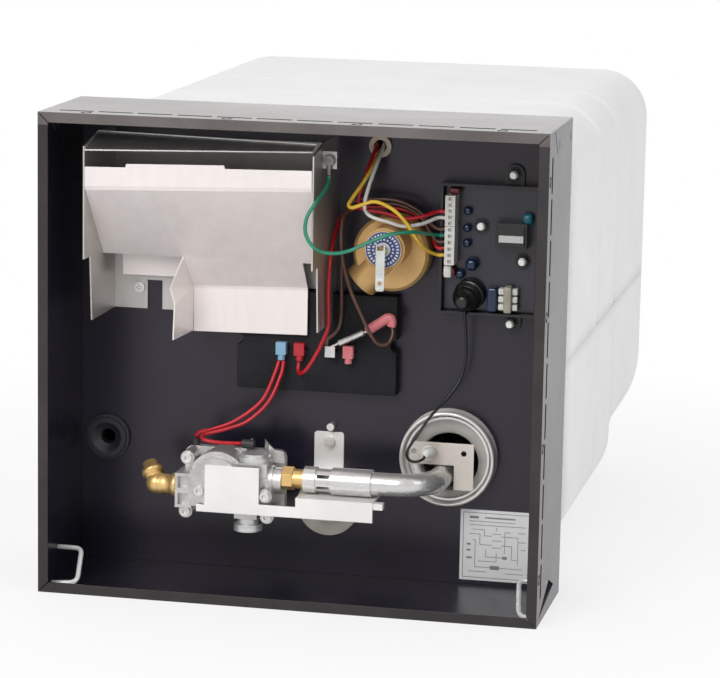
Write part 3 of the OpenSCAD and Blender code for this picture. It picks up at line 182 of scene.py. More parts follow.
def floor_material():
    """White floor: diffuse close to the heater, so that its shadow stays, and plain white farther out."""
    material, tree, shader = start_material("floor_white")
    shader.inputs["Base Color"].default_value = (0.93, 0.93, 0.93, 1)
    shader.inputs["Roughness"].default_value = 0.7
    shader.inputs["Specular IOR Level"].default_value = 0.1
    away = vector_math(tree, "LENGTH", object_point(tree))
    plain = ramp(tree, away, SHADOW_NEAR, SHADOW_FAR, GLOW_NEAR, GLOW_FAR)
    amount = math(tree, "MULTIPLY", plain, seen_by_lens(tree))
    glow = node(tree, "ShaderNodeEmission", {"Color": (1, 1, 1, 1), "Strength": 1.0}).outputs["Emission"]
    mix = node(tree, "ShaderNodeMixShader", {0: amount, 1: shader.outputs["BSDF"], 2: glow})
    tree.links.new(mix.outputs["Shader"], tree.nodes["Material Output"].inputs["Surface"])
    return material


def soft_lamp(name, place, target, size, power):
    """Square area lamp that points from its place at a target."""
    lamp = bpy.data.lights.new(name, "AREA")
    lamp.size = size
    lamp.energy = power
    holder = bpy.data.objects.new(name, lamp)
    aim = Vector(target) - Vector(place)
    holder.matrix_world = Matrix.Translation(place) @ aim.to_track_quat("-Z", "Y").to_matrix().to_4x4()
    bpy.context.scene.collection.objects.link(holder)
    return holder


floor = surface("floor", FLOOR_CORNERS)
floor.data.materials.append(floor_material())

world = bpy.data.worlds.new("surround")
bpy.context.scene.world = world
world.use_nodes = True
sky = world.node_tree
sky.nodes.clear()
heading = node(sky, "ShaderNodeTexCoord").outputs["Generated"]
surround = ramp(sky, split(sky, heading)["Y"], -0.9, 0.1, FRONT_SKY, REAR_SKY)
shares = {"Factor": seen_by_lens(sky), "A": surround, "B": 1.0}
strength = node(sky, "ShaderNodeMix", shares).outputs["Result"]
background = node(sky, "ShaderNodeBackground", {"Strength": strength}).outputs["Background"]
node(sky, "ShaderNodeOutputWorld", {"Surface": background})

soft_lamp("front_lamp", (-0.6, -2.4, 1.7), (0, -0.2, 0.15), size=1.5, power=40)
soft_lamp("right_lamp", (2.2, -1.2, 1.6), (0, 0, 0.15), size=1.2, power=12)
rear_card = soft_lamp("rear_card", (-0.6, 2.4, 0.95), (0, -0.2, 0.3), size=1.8, power=6)
rear_card.visible_diffuse = False
rear_card.visible_camera = False


# Housing: sheet steel bent into a shallow open box, with the lips turned in round the front.
# It is sprayed with semi-gloss black enamel, browner along the lips; a paler painted reflection lies along
# the top.

LIP_SKIN = 0.0013
# Depths of the top lip and the top face that carry the painted reflection.
TOP_LIP = 0.008
TOP_SKIN = 0.0006


def dress(material, *nodes):
    """Puts one material on the CAD nodes named."""
    for name in nodes:
        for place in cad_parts[name].material_slots:
            place.material = material


def grain(tree, scale, detail=3.0, stretch=(1, 1, 1)):
    """Noise on Object coordinates, drawn out along the axes by stretch; gives its factor."""
    drawn = node(tree, "ShaderNodeMapping", {"Vector": object_point(tree), "Scale": stretch})
    inputs = {"Vector": drawn.outputs["Vector"], "Scale": scale, "Detail": detail}
    return node(tree, "ShaderNodeTexNoise", inputs).outputs["Fac"]


def spread(tree, factor, low, high):
    """A number that runs from low to high over the middle of a noise factor."""
    return ramp(tree, factor, 0.3, 0.7, low, high)


def blend(tree, factor, a, b):
    """Mix of two colours."""
    return node(tree, "ShaderNodeMix", {0: factor, 6: a, 7: b}, data_type="RGBA").outputs[2]


def shades(tree, factor, dark, pale):
    """A colour that runs from a dark to a pale shade over the middle of a noise factor."""
    return blend(tree, spread(tree, factor, 0, 1), (*dark, 1), (*pale, 1))


def coat(tree, shader, colour, roughness, metallic=0.0):
    """Gives a shader its colour and roughness from two sockets, and its metallic share."""
    tree.links.new(colour, shader.inputs["Base Color"])
    tree.links.new(roughness, shader.inputs["Roughness"])
    shader.inputs["Metallic"].default_value = metallic


def emboss(tree, shader, height, depth, edge=0.0003):
    """Bump of a height map with its depth in metres, on edges rounded a little for the light."""
    rounded = node(tree, "ShaderNodeBevel", {"Radius": edge}, samples=4).outputs["Normal"]
    inputs = {"Strength": 0.6, "Distance": depth, "Height": height, "Normal": rounded}
    tree.links.new(node(tree, "ShaderNodeBump", inputs).outputs["Normal"], shader.inputs["Normal"])


def enamel_material():
    """Black enamel: orange peel in relief, a trace of dust, browner front lips, and a paler painted
    reflection along the top.
    """
    material, tree, shader = start_material("black_enamel")
    place = split(tree, object_point(tree))
    front = math(tree, "LESS_THAN", place["Y"], cad_box[0][1] + LIP_SKIN)
    high = math(tree, "GREATER_THAN", place["Z"], cad_box[1][2] - TOP_LIP)
    painted_sheen_top = math(tree, "GREATER_THAN", place["Z"], cad_box[1][2] - TOP_SKIN)
    top = math(tree, "MAXIMUM", math(tree, "MULTIPLY", front, high), painted_sheen_top)
    dust = shades(tree, grain(tree, 14, 5), (0.0100, 0.0088, 0.0170), (0.0155, 0.0138, 0.0245))
    # Browner and a little lighter along the front lips.
    lip_brown = shades(tree, grain(tree, 40, 5), (0.016, 0.013, 0.013), (0.030, 0.025, 0.024))
    # The pale shade on the top face and on the front of the top lip is a painted reflection of the bright
    # surround, not the enamel's colour.
    pale = shades(tree, grain(tree, 30, 4), (0.095, 0.085, 0.080), (0.15, 0.135, 0.125))
    colour = blend(tree, top, blend(tree, front, dust, lip_brown), pale)
    coat(tree, shader, colour, spread(tree, grain(tree, 12, 2), 0.25, 0.29))
    shader.inputs["Specular Tint"].default_value = (0.98, 0.92, 0.97, 1)
    emboss(tree, shader, grain(tree, 500, 2), 0.00002, 0.0005)
    return material


dress(enamel_material(), "housing_top", "housing_bottom", "housing_left", "housing_right", "back_panel")


# Foam jacket: two shells of moulded white foam that close round the tank at mid height.
# Two shallow grooves run round them, the rear edge is rounded, and the lower corners widen behind.
# Places along the jacket are measured back from the housing's rear edge.

HALF_WIDTH = 0.161
JACKET_FRONT = -0.1515
JACKET_TOP, JACKET_BELLY, PARTING = 0.300, 0.017, 0.150
SEAM = 0.0002
TOP_RADIUS, LOW_RADIUS, REAR_LOW_RADIUS = 0.034, 0.040, 0.070
WIDEN_FROM, WIDEN_OVER = 0.221, 0.03
GROOVES, GROOVE_DEPTH, GROOVE_SPREAD = (0.148, 0.231), 0.0021, 0.0042
REAR_EDGE, REAR_ROUND, REAR_REACH = 0.381, 0.014, 0.0132
STRETCHES = ((0, 0.132, 5), (0.136, 0.160, 13), (0.168, 0.214, 4), (0.219, 0.250, 17), (0.262, 0.376, 6))
FOOT_SHOULDER, FOOT_BEND, FOOT_ROUND, FOOT_RUN, FOOT_CLEAR = 0.102, 0.003, 0.001, 0.015, 0.002
FOOT_END, FOOT_RISE = 0.374, 0.02
PORT_X, HOT_PORT_Z, COLD_PORT_Z, PORT_HOLE = 0.090, 0.225, 0.085, 0.0196
FOAM_SKIN = 0.004
ACROSS = np.linspace(0, 1, 12)[None]


def straight_side(half, low, high):
    """Upright side at half the width, from one height to another."""
    return np.stack([half + 0 * ACROSS, low + (high - low) * ACROSS], -1)


def corner_arc(half, radius, level, rise):
    """Quarter circle from the side to a level: the top with a rise of 1, the underside with -1."""
    turn = ACROSS * np.pi / 2
    return np.stack([half - radius + radius * np.cos(turn), level - rise * radius * (1 - np.sin(turn))], -1)


def upper_outline(half, inset):
    """Side, corner and flat top of the upper shell at each place along the jacket."""
    radius = TOP_RADIUS - inset
    top = JACKET_TOP - inset
    crown = np.stack([(half - radius) * (1 - 2 * ACROSS), top + 0 * ACROSS], -1)
    return straight_side(half, PARTING + SEAM, top - radius), corner_arc(half, radius, top, 1), crown


def lower_outline(half, inset, along):
    """Side, corner and underside of the lower shell: the corner's radius grows by a smooth step, and a
    foot stands below the underside until it runs out near the rear edge."""
    widen = np.clip((along - WIDEN_FROM) / WIDEN_OVER, 0, 1)
    radius = LOW_RADIUS + (REAR_LOW_RADIUS - LOW_RADIUS) * widen ** 2 * (3 - 2 * widen) - inset
    belly = JACKET_BELLY + inset
    shoulder = np.minimum(FOOT_SHOULDER, half - radius - FOOT_CLEAR)
    ankle = shoulder - FOOT_RUN
    foot = belly * np.clip((along - FOOT_END) / FOOT_RISE, 0, 1) + SEAM
    x = np.concatenate([half - radius, shoulder, shoulder - FOOT_BEND, ankle, ankle - FOOT_BEND], axis=1)
    z = np.concatenate([belly, belly, belly - FOOT_ROUND, foot + FOOT_ROUND, foot], axis=1)
    underside = np.concatenate([np.stack([x, z], -1), np.stack([-x, z], -1)[:, ::-1]], axis=1)
    return straight_side(half, PARTING - SEAM, belly + radius), corner_arc(half, radius, belly, -1), underside


def jacket_half(upper):
    """Half shell: an outline and its mirror image carried along the jacket, drawn in by a bell curve at each
    groove and by a circle at the rear edge; the rear face runs from that edge to a port's round hole."""
    rear = REAR_EDGE + REAR_REACH * np.sin(np.linspace(0, np.pi / 2, 10))
    along = np.concatenate([np.linspace(*stretch) for stretch in STRETCHES] + [rear])[:, None]
    rim = np.clip((along - REAR_EDGE) / REAR_ROUND, 0, 1)
    inset = REAR_ROUND * (1 - np.sqrt(1 - rim ** 2))
    for groove in GROOVES:
        inset = inset + GROOVE_DEPTH * np.exp(-((along - groove) / GROOVE_SPREAD) ** 2)
    half = HALF_WIDTH - inset
    side, arc, middle = upper_outline(half, inset) if upper else lower_outline(half, inset, along)
    flip = np.array([-1, 1])
    runs = [side[:, :-1], arc[:, :-1], middle, arc[:, -2::-1] * flip, side[:, -2::-1] * flip]
    outline = np.concatenate(runs, axis=1)
    y = np.broadcast_to((JACKET_FRONT + along)[:, :, None], outline.shape[:2] + (1,))
    shell = np.concatenate([outline[..., :1], y, outline[..., 1:]], axis=-1)
    edge = np.concatenate([shell[-1], np.linspace(shell[-1, -1], shell[-1, 0], 16)[1:]])
    port = np.array([PORT_X, edge[0, 1], HOT_PORT_Z if upper else COLD_PORT_Z])
    spoke = edge - port
    hole = port + PORT_HOLE * spoke / np.linalg.norm(spoke, axis=1)[:, None]
    inward = np.array([0, 0.03, 0.3, 0.65, 1])[:, None, None]
    return shell, edge + (hole - edge) * inward


def foam_material():
    """White foam: cells of about 4 mm in relief and a slight mottle."""
    material, tree, shader = start_material("white_foam")
    mottle = shades(tree, grain(tree, 18, 4), (0.86, 0.86, 0.855), (0.91, 0.91, 0.905))
    tree.links.new(mottle, shader.inputs["Base Color"])
    shader.inputs["Roughness"].default_value = 0.55
    cells = {"Vector": object_point(tree), "Scale": 240}
    beads = node(tree, "ShaderNodeTexVoronoi", cells, feature="SMOOTH_F1")
    emboss(tree, shader, beads.outputs["Distance"], 0.0001, 0.0008)
    return material


def thicken(piece, thickness, offset=-1.0, round_edge=0.0, rim=0):
    """Gives a sheet its thickness, its rim the material in a given slot, and round edges when asked."""
    solid = piece.modifiers.new("thickness", "SOLIDIFY")
    solid.thickness = thickness
    solid.offset = offset
    solid.material_offset_rim = rim
    if round_edge:
        edge = piece.modifiers.new("edge", "BEVEL")
        edge.width = round_edge
        edge.segments = 2
        edge.limit_method = "ANGLE"
    return piece


def fit(piece, material, *nodes, body="heater"):
    """Gives a new piece its material and its body, and lets it stand for the CAD nodes named."""
    piece.data.materials.append(material)
    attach(piece, body)
    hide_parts(*nodes)
    return piece


foam = foam_material()
for part in ("upper", "lower"):
    half_shell = surface("foam_" + part, *jacket_half(part == "upper"))
    fit(thicken(half_shell, FOAM_SKIN), foam, "jacket_" + part)


# Tank, flue and water ports: the aluminium tank inside the foam, the steel flue whose mouths show
# in the exhaust and the burner ring, brass ports with collars at the rear, and a nylon drain plug.

def finish(name, dark, pale, rough, metallic=0.0, scale=60, fine=900, depth=0.00005, stretch=(1, 1, 1)):
    """Material with a mottled colour and roughness and a fine grain in relief, its depth in metres."""
    material, tree, shader = start_material(name)
    mottle = grain(tree, scale, 4, stretch)
    coat(tree, shader, shades(tree, mottle, dark, pale), spread(tree, mottle, *rough), metallic)
    emboss(tree, shader, grain(tree, fine, 2, stretch), depth)
    return material


steel_bright = finish("bright_steel", (0.62, 0.61, 0.60), (0.76, 0.75, 0.74), (0.22, 0.36),
                      metallic=0.75, scale=90, fine=1200, depth=0.00002)
brass = finish("turned_brass", (0.74, 0.48, 0.18), (0.86, 0.60, 0.26), (0.30, 0.44),
               metallic=0.7, scale=70, depth=0.00002)
tank_aluminium = finish("rolled_aluminium", (0.55, 0.56, 0.57), (0.64, 0.65, 0.66), (0.3, 0.4),
                        metallic=1.0, scale=20, fine=500, depth=0.00003)
cream_nylon = finish("cream_nylon", (0.70, 0.67, 0.59), (0.80, 0.77, 0.69), (0.4, 0.55),
                     scale=90, depth=0.00003)
dress(tank_aluminium, "tank_shell")
dress(steel_bright, "flue_tube")
dress(brass, "water_ports")
dress(cream_nylon, "drain_plug")


# Exhaust: a box of satin stainless sheet round the flue mouth, with a hood, a bent baffle that carries a
# scoop with its side flap, bright screws, and an earth terminal on a tab. From here on, places on the back
# panel are in mm as x, depth in front of it and z, and thicknesses and tube radii are in metres.

PANEL_Y = -152.7
BAND_DEPTH, SLOPE_DEPTH, SLOPE_END = 69.0, 28.0, 211.5
CUT_LEFT, CUT_RIGHT = -84, -5
SCOOP_LEFT, SCOOP_RIGHT, SCOOP_DEPTH = -80.5, -4.9, 12.5
BEND, BEND_IN, FOLD_OUT = 1.2, 1.0, 0.8
SHEET, STEP_SHEET, RIM_SHEET, SHEET_EDGE = 0.001, 0.0008, 0.0005, 0.0002


def on_panel(points):
    """Points given as x, depth in front of the panel and z, all in mm, as places in metres."""
    return (np.asarray(points, float) * [1, -1, 1] + [0, PANEL_Y, 0]) / 1000


def sheet_row(x, depth, z):
    """Row of points on a sheet; each of x, depth and z is one number or one for each point."""
    return np.stack(np.broadcast_arrays(x, depth, z), -1)


def stainless_material(name, dark, pale, metallic):
    """Satin stainless sheet: rolled streaks along Z and faint wide clouds of tarnish."""
    material, tree, shader = start_material(name)
    streak = grain(tree, 30, 3, (6, 6, 1))
    cloud = grain(tree, 9, 3)
    tone = math(tree, "ADD", math(tree, "MULTIPLY", streak, 0.4), math(tree, "MULTIPLY", cloud, 0.6))
    coat(tree, shader, shades(tree, tone, dark, pale), spread(tree, streak, 0.34, 0.46), metallic)
    emboss(tree, shader, grain(tree, 700, 2, (3, 3, 1)), 0.00002)
    return material


satin = stainless_material("satin_stainless", (0.83, 0.765, 0.745), (0.92, 0.86, 0.84), 0.25)
# A darker, more metallic copy of the same satin sheet for the hood and the box: its darker colour is painted
# shade.
satin_painted_shade = stainless_material("satin_stainless_painted_shade", (0.50, 0.475, 0.46), (0.62, 0.60, 0.58), 0.8)
# Bright colour for the hood's cut edges: a painted highlight that stands for the glint along them.
painted_edge_highlight = finish("painted_edge_highlight", (0.84, 0.83, 0.81), (0.93, 0.92, 0.90), (0.2, 0.3), metallic=0.2)
zinc_plate = finish("zinc_plate", (0.16, 0.16, 0.155), (0.30, 0.30, 0.29), (0.25, 0.38),
                    metallic=0.8, scale=200, fine=1200, depth=0.00002)

baffle_x = np.array([-137, -130, -120, -110.4, -109.8, -95, -84, -83.4,
                     -64, -46.6, -46, -25, -5.5, -5, 2, 9.6])
band_z = np.interp(baffle_x, [-137, -110.4, -109.8, -46.6, -46, 9.6],
                   [272, 272.6, 274.9, 276.8, 274.6, 275.9])
bend_z = np.interp(baffle_x, [-137, 9.6], [258.9, 264.2])
band_top = sheet_row(baffle_x, BAND_DEPTH, band_z)
bend_above = sheet_row(baffle_x, BAND_DEPTH, bend_z + BEND)
bend_below = sheet_row(baffle_x, BAND_DEPTH - BEND_IN, bend_z - BEND)
slope_end = sheet_row(baffle_x, SLOPE_DEPTH, SLOPE_END)
on_scoop = (baffle_x >= CUT_LEFT) & (baffle_x <= CUT_RIGHT)
scoop_x = np.interp(baffle_x[on_scoop], [CUT_LEFT, CUT_RIGHT], [SCOOP_LEFT, SCOOP_RIGHT])
fold_z = np.interp(scoop_x, [SCOOP_LEFT, SCOOP_RIGHT], [189.7, 192.0])
scoop_low = np.interp(scoop_x, [SCOOP_LEFT, SCOOP_RIGHT], [160.2, 161.6])
above_fold = sheet_row(scoop_x, SCOOP_DEPTH + FOLD_OUT, fold_z + BEND)
below_fold = sheet_row(scoop_x, SCOOP_DEPTH, fold_z - BEND)
scoop_edge = sheet_row(scoop_x, SCOOP_DEPTH, scoop_low)
baffle = surface("baffle_sheet", on_panel([band_top, bend_above, bend_below, slope_end]),
                 on_panel([slope_end[on_scoop], above_fold, below_fold, scoop_edge]), smooth=False)
fit(thicken(baffle, SHEET, 1.0, SHEET_EDGE), satin, "exhaust_baffle")

slope_corner, nose = (-83.6, 28.4, 211.5), (-87.6, 45, 193)
fold_front, fold_rear = (-82.2, 54, 184.4), (-81, 13, 189.8)
low_front, low_rear = (-83, 54, 161.3), (-81.2, 13, 160.4)
flap = surface("baffle_flap", on_panel([[slope_corner, fold_rear], [nose, nose]]),
               on_panel([[nose, fold_rear], [fold_front, fold_front]]),
               on_panel([[fold_rear, low_rear], [fold_front, low_front]]), smooth=False)
fit(thicken(flap, SHEET, 0.0, SHEET_EDGE), satin, "exhaust_baffle")

step_x = np.array([-128.0, -106, -84.6])
step_bends = ((15, 216), (13.4, 195.4), (12.6, 194.6), (1.6, 194.2))
step_plate = surface("baffle_step", on_panel([sheet_row(step_x, *bend) for bend in step_bends]), smooth=False)
fit(thicken(step_plate, STEP_SHEET, 0.0, SHEET_EDGE), satin, "exhaust_baffle")

hood_front = np.array([(-137, 69.4, 282.6), (9.9, 69.4, 287.6)])
hood_rear = np.array([(-137, 41, 290.4), (9.9, 60, 290.2)])
hood_edge = hood_front + [0, 0.2, -0.5]
hood = surface("hood_sheet", on_panel([hood_edge, hood_front, hood_rear]), smooth=False)
fit(thicken(hood, SHEET, 0.0, rim=1), satin_painted_shade, "exhaust_hood")
hood.data.materials.append(painted_edge_highlight)
# A thin strip along the hood's left and rear edges in that bright colour: a painted highlight.
rim_low = np.array([(-137, 68.6, 283.4), (-137, 41.0, 291.0), (9.9, 60.0, 290.8)])
painted_rim_highlight = surface("painted_rim_highlight", on_panel([rim_low, rim_low + [0, 0, 0.8]]), smooth=False)
fit(thicken(painted_rim_highlight, RIM_SHEET, 0.0), painted_edge_highlight, "exhaust_hood")
dress(satin_painted_shade, "exhaust_box")
dress(steel_bright, "exhaust_screws")
dress(zinc_plate, "earth_terminal")


# Grommets: a moulded beige nylon one for the supply leads and a black rubber one for the gas line.
# Each is pressed into its hole in the back panel.

black_rubber = finish("black_rubber", (0.016, 0.016, 0.021), (0.028, 0.028, 0.034), (0.42, 0.6),
                      scale=80, fine=1200, depth=0.00006)
beige_nylon = finish("beige_nylon", (0.56, 0.47, 0.36), (0.68, 0.59, 0.47), (0.4, 0.55),
                     scale=90, depth=0.00003)
dress(beige_nylon, "wire_grommet")
dress(black_rubber, "gas_grommet")


# Control board: a shallow black tray of potted electronics with white plug connectors, a black relay,
# capacitors and a small transformer, and a rubber-booted spark coil. Nuts on studs hold it.

BOARD_X, BOARD_FACE, BOARD_Z = 112.0, 6.6, 222.7
CAPACITORS = ((-14.6, 24.2, 2.7), (-14.9, 13.3, 2.7), (-14.7, 3.7, 2.7), (-11.1, -9.6, 4.1),
              (-18.7, -16.5, 3.0))
COIL_PROFILE = (
    (0, 0), (10, 0), (10, 4.4), (9.4, 5), (8.4, 5.2), (8.4, 6), (9.2, 6.3), (9.2, 7.2), (8.4, 7.5),
    (8.2, 8.4), (9.0, 8.7), (9.0, 9.6), (8.2, 9.9), (7.8, 10.8), (8.4, 11.1), (8.2, 12), (7, 13.2),
    (5.4, 15.6), (4.6, 18), (3.4, 19.2), (1.6, 19.6), (0, 19.6))
STUDS = ((13.5, 47.75), (13.5, -47.75), (-6, 14.7), (20.9, -6.7))
STUD_RADIUS = 0.0024
RELAY_X, RELAY_FRONT, RELAY_STRIPE_Z = 15, 18.4, 8.9
STRIPE_HALF_HEIGHT, STRIPE_HALF_WIDTH, STRIPE_WAVE = 0.0022, 0.0078, 3600


def on_board(dx, depth, dz):
    """Place from the middle of the board and forward from its face, in mm on the panel."""
    return BOARD_X + dx, BOARD_FACE + depth, BOARD_Z + dz


def bead(centre, radii, power=1.0, rows=16, columns=28):
    """Rounded block of one radius or three: a sphere whose waves are drawn toward a box by a power."""

    def draw(wave):
        """Size of a sine or cosine raised to the power, with its own sign."""
        return np.sign(wave) * np.abs(wave) ** power

    a = np.linspace(-np.pi / 2, np.pi / 2, rows)[:, None]
    b = np.linspace(0, 2 * np.pi, columns, endpoint=False)[None]
    across = draw(np.cos(a)) * draw(np.cos(b))
    forward = draw(np.cos(a)) * draw(np.sin(b))
    upward = draw(np.sin(a)) + 0 * b
    return on_panel(np.asarray(centre) + np.stack([across, forward, upward], -1) * radii)


def turned(profile, centre, axis, sides=40):
    """Turned shape: radius and place along an axis, carried round that axis; all in mm on the panel."""
    profile = np.asarray(profile, float)
    axis = np.asarray(axis, float) / np.linalg.norm(axis)
    one = np.cross(axis, [0.2, 0.3, 0.93])
    one /= np.linalg.norm(one)
    two = np.cross(axis, one)
    turn = np.linspace(0, 2 * np.pi, sides, endpoint=False)[None, :, None]
    ring = np.cos(turn) * one + np.sin(turn) * two
    along = profile[:, 1][:, None, None] * axis
    return on_panel(np.asarray(centre) + along + profile[:, 0][:, None, None] * ring)


def relay_material():
    """Black case with a pale printed stripe across its front, made of plain grey bars."""
    material, tree, shader = start_material("relay_case")
    place = split(tree, object_point(tree))
    front = math(tree, "LESS_THAN", place["Y"], (PANEL_Y - RELAY_FRONT) / 1000)
    height = math(tree, "ABSOLUTE", math(tree, "SUBTRACT", place["Z"], (BOARD_Z + RELAY_STRIPE_Z) / 1000))
    across = math(tree, "ABSOLUTE", math(tree, "SUBTRACT", place["X"], (BOARD_X + RELAY_X) / 1000))
    stripe = math(tree, "MULTIPLY", math(tree, "LESS_THAN", height, STRIPE_HALF_HEIGHT),
                  math(tree, "LESS_THAN", across, STRIPE_HALF_WIDTH))
    wave = math(tree, "SINE", math(tree, "MULTIPLY", place["X"], STRIPE_WAVE))
    bars = math(tree, "GREATER_THAN", wave, 0.2)
    grey = blend(tree, bars, (0.66, 0.66, 0.63, 1), (0.54, 0.54, 0.52, 1))
    case = shades(tree, grain(tree, 60, 4), (0.008, 0.008, 0.009), (0.014, 0.014, 0.016))
    colour = blend(tree, math(tree, "MULTIPLY", front, stripe), case, grey)
    coat(tree, shader, colour, spread(tree, grain(tree, 80, 3), 0.12, 0.22))
    emboss(tree, shader, grain(tree, 1400, 2), 0.00003, 0.0006)
    return material


def nut_material():
    """Black oxide nuts whose studs show bright in the middle."""
    material, tree, shader = start_material("stud_nuts")
    flat = vector_math(tree, "MULTIPLY", object_point(tree), (1, 0, 1))
    near = None
    for dx, dz in STUDS:
        spot = ((BOARD_X + dx) / 1000, 0.0, (BOARD_Z + dz) / 1000)
        far = vector_math(tree, "DISTANCE", flat, spot)
        near = far if near is None else math(tree, "MINIMUM", near, far)
    stud = math(tree, "LESS_THAN", near, STUD_RADIUS)
    oxide = shades(tree, grain(tree, 90, 3), (0.02, 0.019, 0.02), (0.045, 0.043, 0.045))
    colour = blend(tree, stud, oxide, (0.82, 0.82, 0.80, 1))
    coat(tree, shader, colour, spread(tree, grain(tree, 200, 2), 0.26, 0.4), 0.5)
    emboss(tree, shader, grain(tree, 1200, 2), 0.00002)
    return material


black_plastic = finish("black_plastic", (0.006, 0.006, 0.008), (0.011, 0.011, 0.014), (0.25, 0.36),
                       fine=1400, depth=0.00004)
board_potting = finish("board_potting", (0.018, 0.017, 0.029), (0.031, 0.029, 0.045), (0.2, 0.3),
                       scale=50, fine=300, depth=0.00006)
white_nylon = finish("white_nylon", (0.66, 0.64, 0.60), (0.76, 0.74, 0.70), (0.35, 0.5),
                     scale=90, depth=0.00003)
dipped_blue = finish("dipped_blue", (0.004, 0.011, 0.038), (0.009, 0.026, 0.075), (0.08, 0.16))
dipped_teal = finish("dipped_teal", (0.01, 0.10, 0.14), (0.02, 0.17, 0.22), (0.2, 0.3))
dark_red_case = finish("dark_red_case", (0.10, 0.008, 0.014), (0.16, 0.014, 0.022), (0.3, 0.45))
core_tape = finish("core_tape", (0.34, 0.31, 0.25), (0.54, 0.50, 0.42), (0.35, 0.5))
gloss_rubber = finish("gloss_rubber", (0.008, 0.008, 0.009), (0.014, 0.014, 0.015), (0.22, 0.36))
dress(board_potting, "circuit_board")
dress(black_plastic, "board_tray")
dress(white_nylon, "board_connectors")
dress(relay_material(), "relay")
dress(nut_material(), "board_nuts")

drops = [bead(on_board(dx, r, dz), r, 0.8) for dx, dz, r in CAPACITORS]
side_block = bead(on_board(2.8, 3.6, -31.6), (3.4, 3.6, 8.0), 0.35)
fit(surface("blue_capacitors", *drops, side_block, closed=True), dipped_blue, "board_parts")
teal_drop = bead(on_board(24, 3.4, 20.5), (3.6, 3.4, 4.4), 0.75)
fit(surface("teal_capacitor", teal_drop, closed=True), dipped_teal, "board_parts")
filter_case = bead(on_board(-22.4, 5, 37.4), (3.7, 5, 1.9), 0.4)
filter_foot = bead(on_board(-22.7, 4.4, -15.1), (1.2, 2.6, 2.8), 0.6)
fit(surface("red_filter", filter_case, filter_foot, closed=True), dark_red_case, "board_parts")
windings = [bead(on_board(12.9 + side * 4.4, 3.2, -31 + 5 * i), (1.9, 3.2, 2.1), 0.35)
            for side in (-1, 1) for i in (-1, 0, 1)]
spade = bead(on_board(-26, 5.9, -14.5), (2.6, 3.4, 4.0), 0.4)
fit(surface("white_parts", *windings, spade, closed=True), white_nylon, "board_parts")
core = bead(on_board(12.9, 4.4, -31), (2.7, 4.4, 8.6), 0.3)
fit(surface("transformer_core", core, closed=True), core_tape, "board_parts")
coil_boot = turned(COIL_PROFILE, on_board(-11.6, 0, -28.6), (-0.2, 1, -0.24))
fit(surface("spark_coil_boot", coil_boot, closed=True), gloss_rubber, "spark_coil")


# Relief valve: a forged brass body with its outlet, a bonnet with a round printed plate, and a spring-loaded
# stem that a pressed steel lever with a forked end draws out.

LEVER_X, LEVER_FRONT, LEVER_Z = 50.5, 54.0, 225.0
LEVER_SHEET = 0.0008
PLATE_RIM, PLATE_HUB = 0.0112, 0.0046
TICK_RINGS = ((0.0084, 0.0102, 30), (0.0058, 0.0070, 18))
EYE_Z, EYE_RADIUS, EYE_HALF_WIDTH, EYE_HALF_HEIGHT = -20, 1.3, 2.9, 3.0
EAR_SIDE, EAR_FRONT, EAR_REAR, EAR_CENTRE, EAR_RADIUS = 2.6, 53.6, 50.4, 50, 2.8


def forged_brass():
    """Forged brass: orange-tan, matt, darker in patches where it has tarnished."""
    material, tree, shader = start_material("forged_brass")
    patch = grain(tree, 28, 5)
    colour = shades(tree, patch, (0.44, 0.25, 0.09), (0.66, 0.42, 0.17))
    coat(tree, shader, colour, spread(tree, patch, 0.5, 0.36), 0.45)
    emboss(tree, shader, grain(tree, 420, 3), 0.00008, 0.0006)
    return material


def plate_material():
    """Printed aluminium disc: navy with two pale rings of plain ticks and a pale rim and hub."""
    material, tree, shader = start_material("printed_plate")
    middle = (LEVER_X / 1000, 0, LEVER_Z / 1000)
    place = split(tree, vector_math(tree, "SUBTRACT", object_point(tree), middle))
    angle = math(tree, "ARCTAN2", place["Z"], place["X"])
    flat = node(tree, "ShaderNodeCombineXYZ", {"X": place["X"], "Y": place["Z"]}).outputs["Vector"]
    radius = vector_math(tree, "LENGTH", flat)
    ink = math(tree, "MAXIMUM", math(tree, "GREATER_THAN", radius, PLATE_RIM),
               math(tree, "LESS_THAN", radius, PLATE_HUB))
    for low, high, ticks in TICK_RINGS:
        beyond = math(tree, "GREATER_THAN", radius, low)
        ring = math(tree, "MULTIPLY", beyond, math(tree, "LESS_THAN", radius, high))
        tick = math(tree, "GREATER_THAN", math(tree, "SINE", math(tree, "MULTIPLY", angle, ticks)), -0.1)
        ink = math(tree, "MAXIMUM", ink, math(tree, "MULTIPLY", ring, tick))
    navy = shades(tree, grain(tree, 120, 3), (0.022, 0.034, 0.14), (0.035, 0.052, 0.20))
    colour = blend(tree, ink, navy, (0.62, 0.64, 0.68, 1))
    coat(tree, shader, colour, spread(tree, grain(tree, 160, 2), 0.3, 0.42))
    emboss(tree, shader, grain(tree, 900, 2), 0.00002)
    return material


def lever_row(x, z, depth=LEVER_FRONT):
    """Row of points beside and above the lever's pivot, at a depth in front of the panel, in mm."""
    return sheet_row(LEVER_X + x, depth, LEVER_Z + z)


def lever_band(inner, outer, z):
    """Band of the lever's sheet between two edges, which are given beside the pivot at each height."""
    return np.stack([lever_row(inner, z), lever_row(outer, z)], 1)


